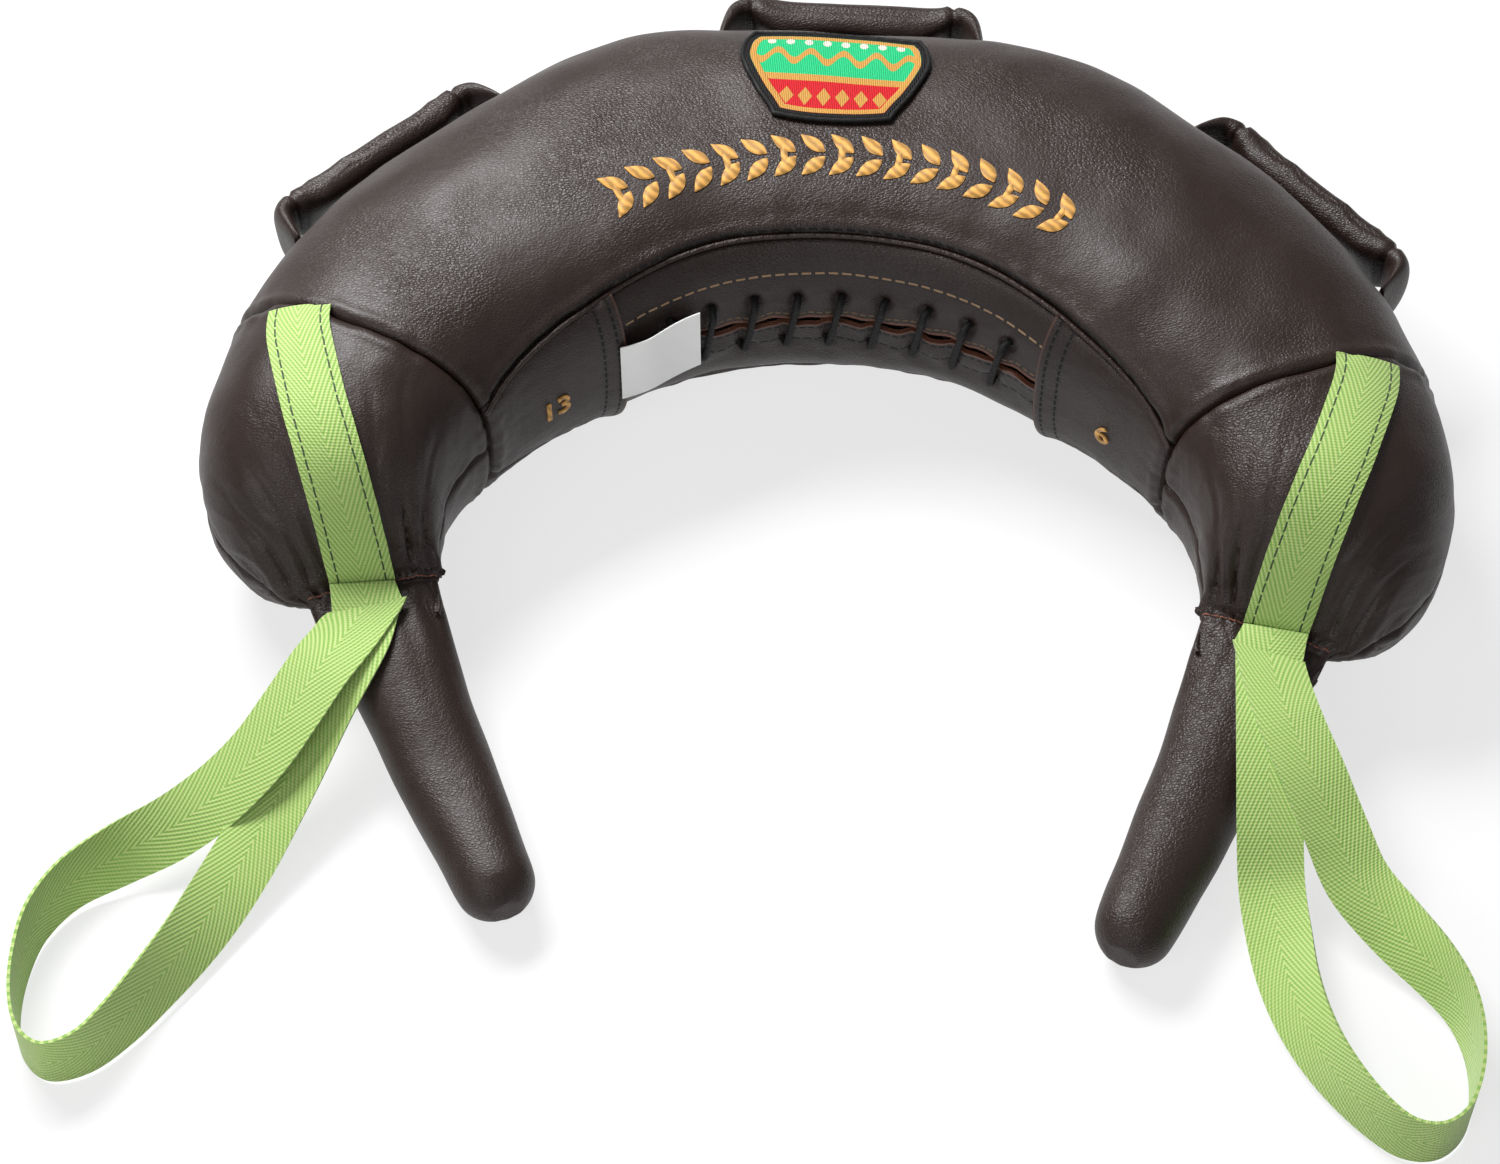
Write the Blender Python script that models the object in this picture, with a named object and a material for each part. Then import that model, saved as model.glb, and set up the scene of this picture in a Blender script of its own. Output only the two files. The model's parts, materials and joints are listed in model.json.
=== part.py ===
"""A bulgarian bag: a horseshoe of leather filled with wadding and sand, with two grips and two hand loops.

The bag lies on its back. The horseshoe opens toward -Y, and X = 0 is the middle of its crown.
Stations run along the horseshoe: 0 at the crown, LAST_STATION at the right choke seam, negative on the left.
A section's angle is 0 on the inner wall, 90 on top, 180 on the outer wall and 270 underneath.
"""

import math

import bmesh
import bpy
import numpy as np
from mathutils import Matrix, Vector
from mathutils.bvhtree import BVHTree

MM = 0.001

# Body of the bag
BODY_HEIGHT = 132 * MM
BODY_WIDTH = 170 * MM
INNER_RADIUS = 147 * MM
LEATHER = 2.5 * MM
CROWN_INNER_ROUNDNESS = 3.4
END_INNER_ROUNDNESS = 2.6
OUTER_ROUNDNESS = 2.25
FLAT_SHARE = 0.05
ROW_STEP = 0.5
FINE_ROWS_END = 10.0
COLUMNS = 20
MAIN_COLUMNS = 7

# Inner angle and outer angle in degrees, then shares of the inner radius, the body's width and height,
# and last the share of the way from the full body to the choke seam
STATION_SHARES = (
    (90.0, 90.0, 1.000, 0.953, 1.000, 0.00),
    (81.0, 81.0, 1.000, 0.984, 1.000, 0.00),
    (72.0, 72.0, 1.003, 1.018, 1.005, 0.00),
    (63.0, 63.0, 1.008, 1.004, 1.005, 0.00),
    (54.0, 54.0, 1.016, 0.960, 1.000, 0.00),
    (45.0, 45.0, 1.034, 0.942, 0.990, 0.00),
    (36.0, 36.0, 1.075, 0.900, 0.975, 0.00),
    (28.0, 28.5, 1.118, 0.858, 0.960, 0.00),
    (22.0, 21.5, 1.150, 0.815, 0.945, 0.00),
    (16.5, 15.0, 1.185, 0.762, 0.935, 0.00),
    (11.6, 8.5, 1.204, 0.725, 0.930, 0.04),
    (8.0, 3.6, 1.208, 0.710, 0.925, 0.16),
    (5.3, -0.4, 1.208, 0.705, 0.920, 0.38),
    (3.3, -2.8, 1.206, 0.705, 0.920, 0.62),
    (1.9, -4.4, 1.204, 0.705, 0.920, 0.86),
    (0.7, -4.5, 1.200, 0.700, 0.920, 1.00),
)
LAST_STATION = len(STATION_SHARES) - 1
END_SEAM_STATION = 8.0
FLAP_EDGE_STATION = 4.7
GUSSET_EDGE_DEG = 39.0
GUSSET_END_DEG = 17.0

# Choke seams, where the arms are tied off
CHOKE_RADIUS = 208.5 * MM
CHOKE_WIDTH = 67 * MM
CHOKE_HEIGHT = 45 * MM
CHOKE_THICKNESS = 9 * MM
CHOKE_RISE_POWER = 1.5

# Clearances between pieces
SEAM_GAP = 0.4 * MM
REST_GAP = 0.35 * MM
FILLING_GAP = 2.0 * MM
SACK_GAP = 1.2 * MM
DRAPE_GAP = 0.45 * MM
DRAPE_SAMPLES = 8

# Filling
WADDING = 13 * MM
SLEEVE_STATIONS = (-11.3, -6.8, -2.4, 2.4, 6.8, 11.3)
SLEEVE_ROWS = 5
SACK_END_SHARES = ((0.0, 0.55), (0.06, 0.86), (0.16, 1.0))
SACK_MIDDLE_SHARES = (0.27, 0.385, 0.5, 0.615, 0.73)

# Laced slit in the inner wall
SLIT_WIDTH = 3 * MM
LACE_DIAMETER = 4 * MM
LACE_CLEARANCE = 1.0 * MM
LACE_BEND = 3 * MM
LACE_CROSSINGS = 9
LACE_HEIGHT = 33 * MM
LACE_REACH_STATION = 3.6
LACE_SLANT_SHARE = 0.3
LACE_POINTS = 24
LACE_TAIL_SHARE = 0.2
EYELET_DIAMETER = 6.4 * MM
EYELET_SIDES = 10
CUT_OVERRUN = 5 * MM

# Care label, sewn beside the slit
LABEL_HEIGHT = 40 * MM
LABEL_THICKNESS = 0.7 * MM
LABEL_STATIONS = (-4.58, -4.28, -3.92, -3.5, -3.1)
LABEL_LIFT_SHARES = (0.15, 1.0, 1.0, 1.0, 1.0)
LABEL_DROP = 3 * MM

# Padded handles on the outer wall
HANDLE_LENGTH = 124 * MM
HANDLE_THICKNESS = 15 * MM
HANDLE_HEIGHT = 33 * MM
HANDLE_FOOT_THICKNESS = 7 * MM
HANDLE_FOOT_HEIGHT = 38 * MM
HANDLE_CENTRE = 66 * MM
TOP_HANDLE_STAND_OFF = 29 * MM
SIDE_HANDLE_STAND_OFF = 17 * MM
SIDE_HANDLE_DEG = 45.0
HANDLE_SIDES = 12
HANDLE_ROUNDNESS = 2.6
HANDLE_GAP = 0.4 * MM
# Along half the handle's length, then down from the grip's line to the bag, and from grip to foot
HANDLE_SHARES = (
    (0.00, 0.00, 0.00),
    (0.38, 0.00, 0.00),
    (0.74, 0.00, 0.00),
    (0.88, 0.02, 0.05),
    (0.96, 0.12, 0.25),
    (1.00, 0.35, 0.60),
    (1.04, 0.70, 0.90),
    (1.06, 1.00, 1.00),
)

# Grips, the thin tails past the choke seams
GRIP_LENGTH = 168 * MM
GRIP_WIDTH = 62 * MM
GRIP_TIP_WIDTH = 36 * MM
GRIP_THICKNESS = 36 * MM
GRIP_LEAN_DEG = {"left": 27.0, "right": 22.0}
GRIP_SIDES = 16
GRIP_ROUNDNESS = 2.2
STUFFING_GAP = 1.5 * MM
STUFFING_START = 18 * MM
# Along the length, then from the root's width to the tip's, and from choke to tip for the top and the bottom
GRIP_SHARES = (
    (0.00, 0.00, 0.00, 0.00),
    (0.06, 0.04, 0.00, 0.22),
    (0.13, 0.14, 0.05, 0.42),
    (0.23, 0.28, 0.22, 0.72),
    (0.35, 0.42, 0.56, 0.94),
    (0.50, 0.55, 0.86, 1.00),
    (0.68, 0.72, 0.98, 1.00),
    (0.84, 0.90, 1.00, 1.00),
)
GRIP_TIP_SHARES = ((0.0, 1.0), (0.35, 0.94), (0.68, 0.74), (0.90, 0.44))

# Webbing straps
WEBBING_WIDTH = 30 * MM
WEBBING = 1.5 * MM
STRAP_START_STATION = 8.05
STRAP_END_STATION = 14.6
STRAP_ROWS = 22
STRAP_COLUMNS = 4
# The strap's middle on its way down the arm, as a share from the inner to the outer wall, at each station
STRAP_STATIONS = (8.0, 9.0, 10.0, 11.0, 12.0, 13.0, 14.0, 15.0)
STRAP_MIDDLE_SHARES = (0.73, 0.595, 0.49, 0.445, 0.44, 0.465, 0.515, 0.548)
LOOP_ROOT_OUT = 4.5 * MM
LOOP_ROOT_FORWARD = 8.5 * MM
LOOP_PLY_GAP = 0.5 * MM
LOOP_REACH = 250 * MM
LOOP_ROWS = 46
LOOP_FOLD_ROWS = 3
# Each loop's line from its root, out along the front ply and back along the other one: outward, forward
# and up as shares of the loop's reach, and the turn of the webbing in degrees from flat
LOOP_SHARES = {
    "left": (
        (0.000, 0.000, 0.0000, 0),
        (0.032, 0.068, 0.0000, 0),
        (0.072, 0.140, -0.0020, 2),
        (0.116, 0.216, -0.0260, 4),
        (0.168, 0.292, -0.0600, 8),
        (0.236, 0.360, -0.0960, 16),
        (0.316, 0.420, -0.1240, 32),
        (0.408, 0.476, -0.1370, 52),
        (0.488, 0.540, -0.1370, 70),
        (0.536, 0.620, -0.1350, 80),
        (0.552, 0.708, -0.1350, 86),
        (0.548, 0.796, -0.1350, 90),
        (0.524, 0.864, -0.1350, 92),
        (0.476, 0.898, -0.1350, 96),
        (0.412, 0.874, -0.1350, 102),
        (0.356, 0.808, -0.1370, 112),
        (0.304, 0.724, -0.1390, 122),
        (0.256, 0.636, -0.1420, 134),
        (0.216, 0.548, -0.1430, 150),
        (0.180, 0.464, -0.1360, 164),
        (0.144, 0.380, -0.1140, 172),
        (0.108, 0.296, -0.0860, 176),
        (0.072, 0.212, -0.0500, 178),
        (0.036, 0.136, -0.0160, 180),
        (0.010, 0.068, -0.0010, 180),
        (0.000, 0.000, 0.0000, 180),
    ),
    "right": (
        (0.000, 0.000, 0.0000, 0),
        (0.016, 0.072, 0.0000, 0),
        (0.040, 0.150, -0.0040, 2),
        (0.080, 0.240, -0.0260, 4),
        (0.124, 0.330, -0.0700, 8),
        (0.168, 0.410, -0.1120, 18),
        (0.236, 0.486, -0.1340, 36),
        (0.300, 0.560, -0.1370, 56),
        (0.346, 0.630, -0.1370, 72),
        (0.368, 0.708, -0.1350, 82),
        (0.368, 0.790, -0.1350, 88),
        (0.346, 0.862, -0.1350, 92),
        (0.300, 0.902, -0.1350, 96),
        (0.240, 0.898, -0.1350, 100),
        (0.180, 0.850, -0.1350, 106),
        (0.120, 0.774, -0.1370, 116),
        (0.076, 0.692, -0.1400, 128),
        (0.046, 0.604, -0.1420, 142),
        (0.028, 0.512, -0.1400, 158),
        (0.014, 0.420, -0.1220, 168),
        (0.006, 0.330, -0.0660, 176),
        (0.002, 0.240, -0.0240, 178),
        (0.000, 0.150, -0.0030, 180),
        (0.000, 0.072, 0.0000, 180),
        (0.000, 0.000, 0.0000, 180),
    ),
}

# Embroidered badge on the crown
BADGE_THICKNESS = 1.6 * MM
BADGE_WIDTH = 90 * MM
BADGE_HEIGHT = 58 * MM
BADGE_FOOT = 219 * MM
BADGE_ASIDE = 6 * MM
BADGE_COLUMNS = 8
# Up the badge, then half its width as a share of the full half width, and the arch of its rows
BADGE_SHARES = (
    (0.00, 0.62, -0.05),
    (0.12, 0.72, -0.02),
    (0.40, 0.90, 0.0),
    (0.68, 1.00, 0.02),
    (0.90, 0.97, 0.04),
    (1.00, 0.90, 0.07),
)

SIDES = {"left": -1.0, "right": 1.0}

LEATHER_COLOUR = (0.036, 0.022, 0.017)
LINING_COLOUR = (0.045, 0.026, 0.020)
HANDLE_COLOUR = (0.032, 0.022, 0.018)
WEBBING_COLOUR = (0.27, 0.62, 0.10)
LACE_COLOUR = (0.010, 0.009, 0.009)
LABEL_COLOUR = (0.86, 0.86, 0.84)
BADGE_COLOUR = (0.03, 0.27, 0.13)
WADDING_COLOUR = (0.72, 0.68, 0.60)
SACK_COLOUR = (0.52, 0.44, 0.30)
FOAM_COLOUR = (0.78, 0.74, 0.55)


def clear_scene():
    for obj in list(bpy.data.objects):
        bpy.data.objects.remove(obj, do_unlink=True)


def new_collection(name):
    collection = bpy.data.collections.new(name)
    bpy.context.scene.collection.children.link(collection)
    return collection


def material(name, colour, roughness, metallic=0.0):
    found = bpy.data.materials.get(name)
    if found:
        return found
    made = bpy.data.materials.new(name)
    made.use_nodes = True
    shader = made.node_tree.nodes["Principled BSDF"]
    shader.inputs["Base Color"].default_value = (*colour, 1.0)
    shader.inputs["Roughness"].default_value = roughness
    shader.inputs["Metallic"].default_value = metallic
    made.diffuse_color = (*colour, 1.0)
    return made


def lerp(start, end, share):
    return start + (end - start) * share


def smooth_row(table, place):
    """A Catmull-Rom reading of a table of rows at a fractional row number."""
    last = len(table) - 1
    low = min(max(int(math.floor(place)), 0), last - 1)
    part = place - low
    rows = [np.array(table[min(max(low + i, 0), last)], dtype=float) for i in (-1, 0, 1, 2)]
    slope_low = (rows[2] - rows[0]) / 2
    slope_high = (rows[3] - rows[1]) / 2
    cube, square = part**3, part**2
    return (
        rows[1] * (2 * cube - 3 * square + 1)
        + slope_low * (cube - 2 * square + part)
        + rows[2] * (3 * square - 2 * cube)
        + slope_high * (cube - square)
    )


def whole_table():
    """The stations of both arms, left choke seam first."""
    left = [(180 - row[0], 180 - row[1], *row[2:]) for row in STATION_SHARES[:0:-1]]
    return left + list(STATION_SHARES)


STATIONS = whole_table()


def polar(angle, radius):
    return Vector((radius * math.cos(math.radians(angle)), radius * math.sin(math.radians(angle)), 0))


def choke_turn(side):
    """The inner and the outer end of a choke seam in plan."""
    inner_angle, outer_angle = STATION_SHARES[-1][:2]
    inner = polar(inner_angle, CHOKE_RADIUS - CHOKE_WIDTH / 2)
    outer = polar(outer_angle, CHOKE_RADIUS + CHOKE_WIDTH / 2)
    return Vector((inner.x * side, inner.y, 0)), Vector((outer.x * side, outer.y, 0))


def section(station):
    """Centre, outward direction, half width, floor, half height and closure of the section at a station."""
    row = smooth_row(STATIONS, station + LAST_STATION)
    inner_angle, outer_angle, radius_share, width_share, height_share, closure = row
    inner_radius = INNER_RADIUS * radius_share
    outer_radius = inner_radius + BODY_WIDTH * width_share
    inner = polar(inner_angle, lerp(inner_radius, CHOKE_RADIUS - CHOKE_WIDTH / 2, closure))
    outer = polar(outer_angle, lerp(outer_radius, CHOKE_RADIUS + CHOKE_WIDTH / 2, closure))
    top = lerp(BODY_HEIGHT * height_share, CHOKE_HEIGHT + CHOKE_THICKNESS / 2, closure)
    floor = (CHOKE_HEIGHT - CHOKE_THICKNESS / 2) * max(closure, 0.0) ** CHOKE_RISE_POWER
    return {
        "centre": (inner + outer) / 2,
        "out": (outer - inner).normalized(),
        "half_width": (outer - inner).length / 2,
        "floor": floor,
        "middle": (top + floor) / 2,
        "half_height": (top - floor) / 2,
        "flat": FLAT_SHARE * (1 - min(max(closure, 0.0), 1.0)),
    }


def rounded(value, roundness):
    return math.copysign(abs(value) ** (2 / roundness), value)


def inner_roundness(station):
    share = min(abs(station) / END_SEAM_STATION, 1.0)
    return lerp(CROWN_INNER_ROUNDNESS, END_INNER_ROUNDNESS, share)


def skin(station, angle, inset=0.0, inner_limit=0.0):
    """A point of the skin, or of a layer inset from it, which stops short of the inner wall by inner_limit."""
    s = section(station)
    across, rise = math.cos(math.radians(angle)), math.sin(math.radians(angle))
    roundness = inner_roundness(station) if across > 0 else OUTER_ROUNDNESS
    across = (s["half_width"] - inset) * rounded(across, roundness)
    across = min(across, s["half_width"] - inner_limit)
    rise = (s["half_height"] - inset) * rounded(rise, roundness)
    if rise < 0 and inset <= LEATHER:
        rise *= 1 + s["flat"]
    height = max(s["middle"] + rise, s["floor"] + inset)
    return s["centre"] - s["out"] * across + Vector((0, 0, height))


def inner_wall(station, rise, depth=0.0):
    """A point of the inner wall by its height above the section's middle, moved into the bag by depth."""
    s = section(station)
    share = min(abs(rise) / s["half_height"], 1.0)
    roundness = inner_roundness(station)
    across = s["half_width"] * (1 - share**roundness) ** (1 / roundness) - depth
    return s["centre"] - s["out"] * across + Vector((0, 0, s["middle"] + rise))


def gusset_edge(station):
    """The angle of the seam between the front panel and the gusset."""
    share = min(abs(station) / END_SEAM_STATION, 1.0)
    return lerp(GUSSET_EDGE_DEG, GUSSET_END_DEG, share**3)


def steps(start, end, step):
    count = max(round(abs(end - start) / step), 1)
    return [lerp(start, end, i / count) for i in range(count + 1)]


def add_object(name, verts, faces, collection, look):
    mesh = bpy.data.meshes.new(name)
    mesh.from_pydata([tuple(v) for v in verts], [], faces)
    mesh.validate()
    form = bmesh.new()
    form.from_mesh(mesh)
    bmesh.ops.recalc_face_normals(form, faces=form.faces)
    form.to_mesh(mesh)
    form.free()
    mesh.shade_smooth()
    mesh.set_sharp_from_angle(angle=math.radians(40))
    mesh.materials.append(look)
    obj = bpy.data.objects.new(name, mesh)
    collection.objects.link(obj)
    return obj


def sheet_solid(name, outer, inner, collection, look):
    """A closed sheet between two like grids of points, as leather is between its two faces."""
    rows, columns = len(outer), len(outer[0])
    verts = [p for row in outer for p in row] + [p for row in inner for p in row]
    below = rows * columns

    def at(i, j):
        return i * columns + j

    faces = []
    for i in range(rows - 1):
        for j in range(columns - 1):
            quad = (at(i, j), at(i, j + 1), at(i + 1, j + 1), at(i + 1, j))
            faces.append(quad)
            faces.append(tuple(below + v for v in reversed(quad)))
    rim = [at(0, j) for j in range(columns)]
    rim += [at(i, columns - 1) for i in range(1, rows)]
    rim += [at(rows - 1, j) for j in range(columns - 2, -1, -1)]
    rim += [at(i, 0) for i in range(rows - 2, 0, -1)]
    for here, there in zip(rim, rim[1:] + rim[:1]):
        faces.append((here, below + here, below + there, there))
    return add_object(name, verts, faces, collection, look)


def loft(name, rings, collection, look):
    """A solid through closed rings of points, with a cap on each end."""
    count = len(rings[0])
    verts = [p for ring in rings for p in ring]
    faces = []
    for i in range(len(rings) - 1):
        for j in range(count):
            k = (j + 1) % count
            faces.append((i * count + j, i * count + k, (i + 1) * count + k, (i + 1) * count + j))
    faces.append(tuple(range(count)))
    faces.append(tuple((len(rings) - 1) * count + j for j in range(count)))
    return add_object(name, verts, faces, collection, look)


def ribbon(name, rings, collection, look):
    """A strap through rings of four points. Both its broad faces are cut along like diagonals."""
    verts = [p for ring in rings for p in ring]
    faces = []
    for i in range(len(rings) - 1):
        a, b = 4 * i, 4 * (i + 1)
        faces += [(a, a + 1, b + 1), (a, b + 1, b), (a + 2, a + 3, b + 2), (a + 3, b + 3, b + 2)]
        faces += [(a + 1, a + 2, b + 2, b + 1), (a + 3, a, b, b + 3)]
    last = 4 * (len(rings) - 1)
    faces += [(3, 2, 1, 0), (last, last + 1, last + 2, last + 3)]
    return add_object(name, verts, faces, collection, look)


def sleeve(name, outer, inner, collection, look):
    """A tube between outer and inner rings. With fewer inner rings, it is closed past the last of them."""
    count = len(outer[0])
    rings = list(reversed(inner)) + list(outer)
    verts = [p for ring in rings for p in ring]
    faces = []
    for i in range(len(rings) - 1):
        for j in range(count):
            k = (j + 1) % count
            faces.append((i * count + j, i * count + k, (i + 1) * count + k, (i + 1) * count + j))
    last = (len(rings) - 1) * count
    if len(outer) == len(inner):
        for j in range(count):
            k = (j + 1) % count
            faces.append((last + j, last + k, k, j))
    else:
        faces.append(tuple(last + j for j in range(count)))
        faces.append(tuple(range(count)))
    return add_object(name, verts, faces, collection, look)


def draw_in(points, layer, gap):
    """Moves each edge of both grids in from its seam, along the outer grid."""
    shifted = [[list(row) for row in points], [list(row) for row in layer]]
    last_row, last_column = len(points) - 1, len(points[0]) - 1
    for i in range(last_row + 1):
        for j in range(last_column + 1):
            move = Vector((0, 0, 0))
            if j in (0, last_column) and gap[0 if j == 0 else 1]:
                step = 1 if j == 0 else -1
                move += (points[i][j + step] - points[i][j]).normalized() * gap[0 if j == 0 else 1]
            if i in (0, last_row):
                step = 1 if i == 0 else -1
                move += (points[i + step][j] - points[i][j]).normalized() * gap[2]
            for grid, source in zip(shifted, (points, layer)):
                grid[i][j] = source[i][j] + move
    return shifted


def panel(name, stations, angles_at, gaps, collection, look):
    """A leather panel of the skin, between seams. gaps are those at its first and last angle and its ends."""
    outer = [[skin(k, a) for a in angles_at(k)] for k in stations]
    inner = [[skin(k, a, LEATHER) for a in angles_at(k)] for k in stations]
    outer, inner = draw_in(outer, inner, gaps)
    return sheet_solid(name, outer, inner, collection, look)


def spread(start, end, count):
    return [lerp(start, end, i / count) for i in range(count + 1)]


def main_stations():
    return steps(-END_SEAM_STATION, END_SEAM_STATION, ROW_STEP)


def end_stations(sign):
    stations = steps(END_SEAM_STATION, FINE_ROWS_END, ROW_STEP)
    stations += steps(FINE_ROWS_END + 1, float(LAST_STATION), 1.0)
    return [sign * k for k in stations]


def front_angles(station):
    return spread(gusset_edge(station), 180, MAIN_COLUMNS)


def back_angles(station):
    return spread(180, 360 - gusset_edge(station), MAIN_COLUMNS)


def end_front_angles(_):
    return spread(0, 180, COLUMNS // 2)


def end_back_angles(_):
    return spread(180, 360, COLUMNS // 2)


def make_main_panels(parts, look):
    gaps = (SEAM_GAP / 2, SEAM_GAP / 2, SEAM_GAP / 2)
    panel("front_panel", main_stations(), front_angles, gaps, parts, look)
    panel("back_panel", main_stations(), back_angles, gaps, parts, look)


def make_end_panels(parts, look):
    gaps = (SEAM_GAP / 2, SEAM_GAP / 2, SEAM_GAP / 2)
    for side, sign in SIDES.items():
        panel(f"{side}_end_front_panel", end_stations(sign), end_front_angles, gaps, parts, look)
        panel(f"{side}_end_back_panel", end_stations(sign), end_back_angles, gaps, parts, look)


def make_gusset_flaps(parts, look):
    for side, sign in SIDES.items():
        stations = [sign * k for k in steps(FLAP_EDGE_STATION, END_SEAM_STATION, ROW_STEP)]
        gaps = (SEAM_GAP / 2, SEAM_GAP / 2, SEAM_GAP / 2)

        def angles(k):
            return spread(-gusset_edge(k), gusset_edge(k), 6)

        panel(f"{side}_gusset_flap", stations, angles, gaps, parts, look)


def lace_station(turn):
    """The station that the lace has reached after so many turns. It slants less in front than behind."""
    pitch = 2 * LACE_REACH_STATION / (LACE_CROSSINGS - 1)
    whole = math.floor(turn)
    part = turn - whole
    front = min(part / 0.5, 1.0) * LACE_SLANT_SHARE
    behind = max(part / 0.5 - 1, 0.0) * (1 - LACE_SLANT_SHARE)
    return LACE_REACH_STATION + pitch * (LACE_SLANT_SHARE / 2 - whole - front - behind)


def eyelet_cutter(name, station, rise, cutters):
    """A round cutter square to the inner wall."""
    depth = LEATHER + 2 * CUT_OVERRUN
    middle = inner_wall(station, rise, LEATHER / 2)
    form = bmesh.new()
    bmesh.ops.create_cone(
        form,
        cap_ends=True,
        segments=EYELET_SIDES,
        radius1=EYELET_DIAMETER / 2,
        radius2=EYELET_DIAMETER / 2,
        depth=depth,
    )
    mesh = bpy.data.meshes.new(name)
    form.to_mesh(mesh)
    form.free()
    obj = bpy.data.objects.new(name, mesh)
    obj.location = middle
    obj.rotation_euler = section(station)["out"].to_track_quat("Z", "Y").to_euler()
    obj.hide_render = True
    obj.display_type = "WIRE"
    cutters.objects.link(obj)
    return obj


def join_cutters(pieces, name):
    """One cutter from several that don't touch."""
    form = bmesh.new()
    for piece in pieces:
        copy = piece.data.copy()
        copy.transform(Matrix.LocRotScale(piece.location, piece.rotation_euler, None))
        form.from_mesh(copy)
        bpy.data.meshes.remove(copy)
        bpy.data.objects.remove(piece, do_unlink=True)
    mesh = bpy.data.meshes.new(name)
    form.to_mesh(mesh)
    form.free()
    obj = bpy.data.objects.new(name, mesh)
    obj.hide_render = True
    obj.display_type = "WIRE"
    return obj


def make_lips(parts, cutters, look):
    """The two lips of the filling slit, each with its row of lace holes."""
    stations = steps(-FLAP_EDGE_STATION, FLAP_EDGE_STATION, ROW_STEP)
    slit, seam = SLIT_WIDTH / 2, SEAM_GAP / 2
    upper = panel(
        "upper_closure_lip", stations, lambda k: spread(0, gusset_edge(k), 5), (slit, seam, seam), parts, look
    )
    lower = panel(
        "lower_closure_lip", stations, lambda k: spread(-gusset_edge(k), 0, 5), (seam, slit, seam), parts, look
    )
    for lip, half_turn, rise in ((upper, 0.0, LACE_HEIGHT / 2), (lower, 0.5, -LACE_HEIGHT / 2)):
        holes = [
            eyelet_cutter(f"{lip.name}_hole_{i}", lace_station(i + half_turn), rise, cutters)
            for i in range(LACE_CROSSINGS)
        ]
        cutter = join_cutters(holes, f"{lip.name}_holes")
        cutters.objects.link(cutter)
        cut = lip.modifiers.new("lace holes", "BOOLEAN")
        cut.operation = "DIFFERENCE"
        cut.solver = "EXACT"
        cut.object = cutter


def lace_loop(turn):
    """Rise and stand-off of the lace in its rounded loop: down in front, in, and up behind the lips."""
    half = LACE_HEIGHT / 2
    lift = LEATHER / 2 + LACE_CLEARANCE + LACE_DIAMETER / 2
    side, straight = lift - LACE_BEND, half - LACE_BEND
    bend = LACE_BEND * math.pi / 2
    quarters = (turn - math.floor(turn)) * 4
    number = int(quarters)
    along = (quarters - number) * (side + bend + straight)
    if number % 2:
        along = side + bend + straight - along
    if along < side:
        rise, forward = half, along
    elif along < side + bend:
        corner = (along - side) / LACE_BEND
        rise, forward = straight + LACE_BEND * math.cos(corner), side + LACE_BEND * math.sin(corner)
    else:
        rise, forward = straight - (along - side - bend), lift
    return (-rise if number in (1, 2) else rise), (-forward if number > 1 else forward)


def lace_points():
    """The lace winds round both lips, in at each hole of the lower one and out at the upper one's."""
    first = -LACE_TAIL_SHARE
    last = LACE_CROSSINGS - 0.5 + LACE_TAIL_SHARE
    count = round((last - first) * LACE_POINTS)
    points = []
    for i in range(count + 1):
        turn = lerp(first, last, i / count)
        rise, forward = lace_loop(turn)
        points.append(inner_wall(lace_station(turn), rise, LEATHER / 2 - forward))
    return points


def least_gap(points, diameter):
    """The least distance between two stretches of a tube that aren't neighbours, wall to wall."""
    places = np.array([tuple(p) for p in points])
    along = np.concatenate([[0.0], np.cumsum(np.linalg.norm(np.diff(places, axis=0), axis=1))])
    apart = np.linalg.norm(places[:, None] - places[None, :], axis=2)
    neighbours = np.abs(along[:, None] - along[None, :]) < 2.5 * diameter
    return float(apart[~neighbours].min() - diameter)


def tube(name, points, diameter, resolution, parts, look):
    """A tube along a line of points."""
    curve = bpy.data.curves.new(name, "CURVE")
    curve.dimensions = "3D"
    spline = curve.splines.new("POLY")
    spline.points.add(len(points) - 1)
    for place, point in zip(spline.points, points):
        place.co = (*point, 1)
    curve.bevel_depth = diameter / 2
    curve.bevel_resolution = resolution
    curve.use_fill_caps = True
    curve.materials.append(look)
    obj = bpy.data.objects.new(name, curve)
    parts.objects.link(obj)
    return obj


def make_lace(parts, look):
    points = lace_points()
    print(f"closure_lace: least gap to itself {least_gap(points, LACE_DIAMETER) / MM:.2f} mm")
    tube("closure_lace", points, LACE_DIAMETER, 1, parts, look)


def make_label(parts, look):
    """The care label, sewn in beside the slit. It lies over the lace."""
    lift = LACE_CLEARANCE + LACE_DIAMETER + DRAPE_GAP
    grids = []
    for layer in (LABEL_THICKNESS, 0.0):
        rows = []
        for i, station in enumerate(LABEL_STATIONS):
            forward = lift * LABEL_LIFT_SHARES[i] + layer
            middle = -LABEL_DROP
            heights = spread(middle - LABEL_HEIGHT / 2, middle + LABEL_HEIGHT / 2, 2)
            rows.append([inner_wall(station, 0.0, -forward) + Vector((0, 0, h)) for h in heights])
        grids.append(rows)
    return sheet_solid("care_label", grids[0], grids[1], parts, look)


def filling_ring(station, inset, inner_limit):
    return [skin(station, 360 * j / COLUMNS, inset, inner_limit) for j in range(COLUMNS)]


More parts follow.
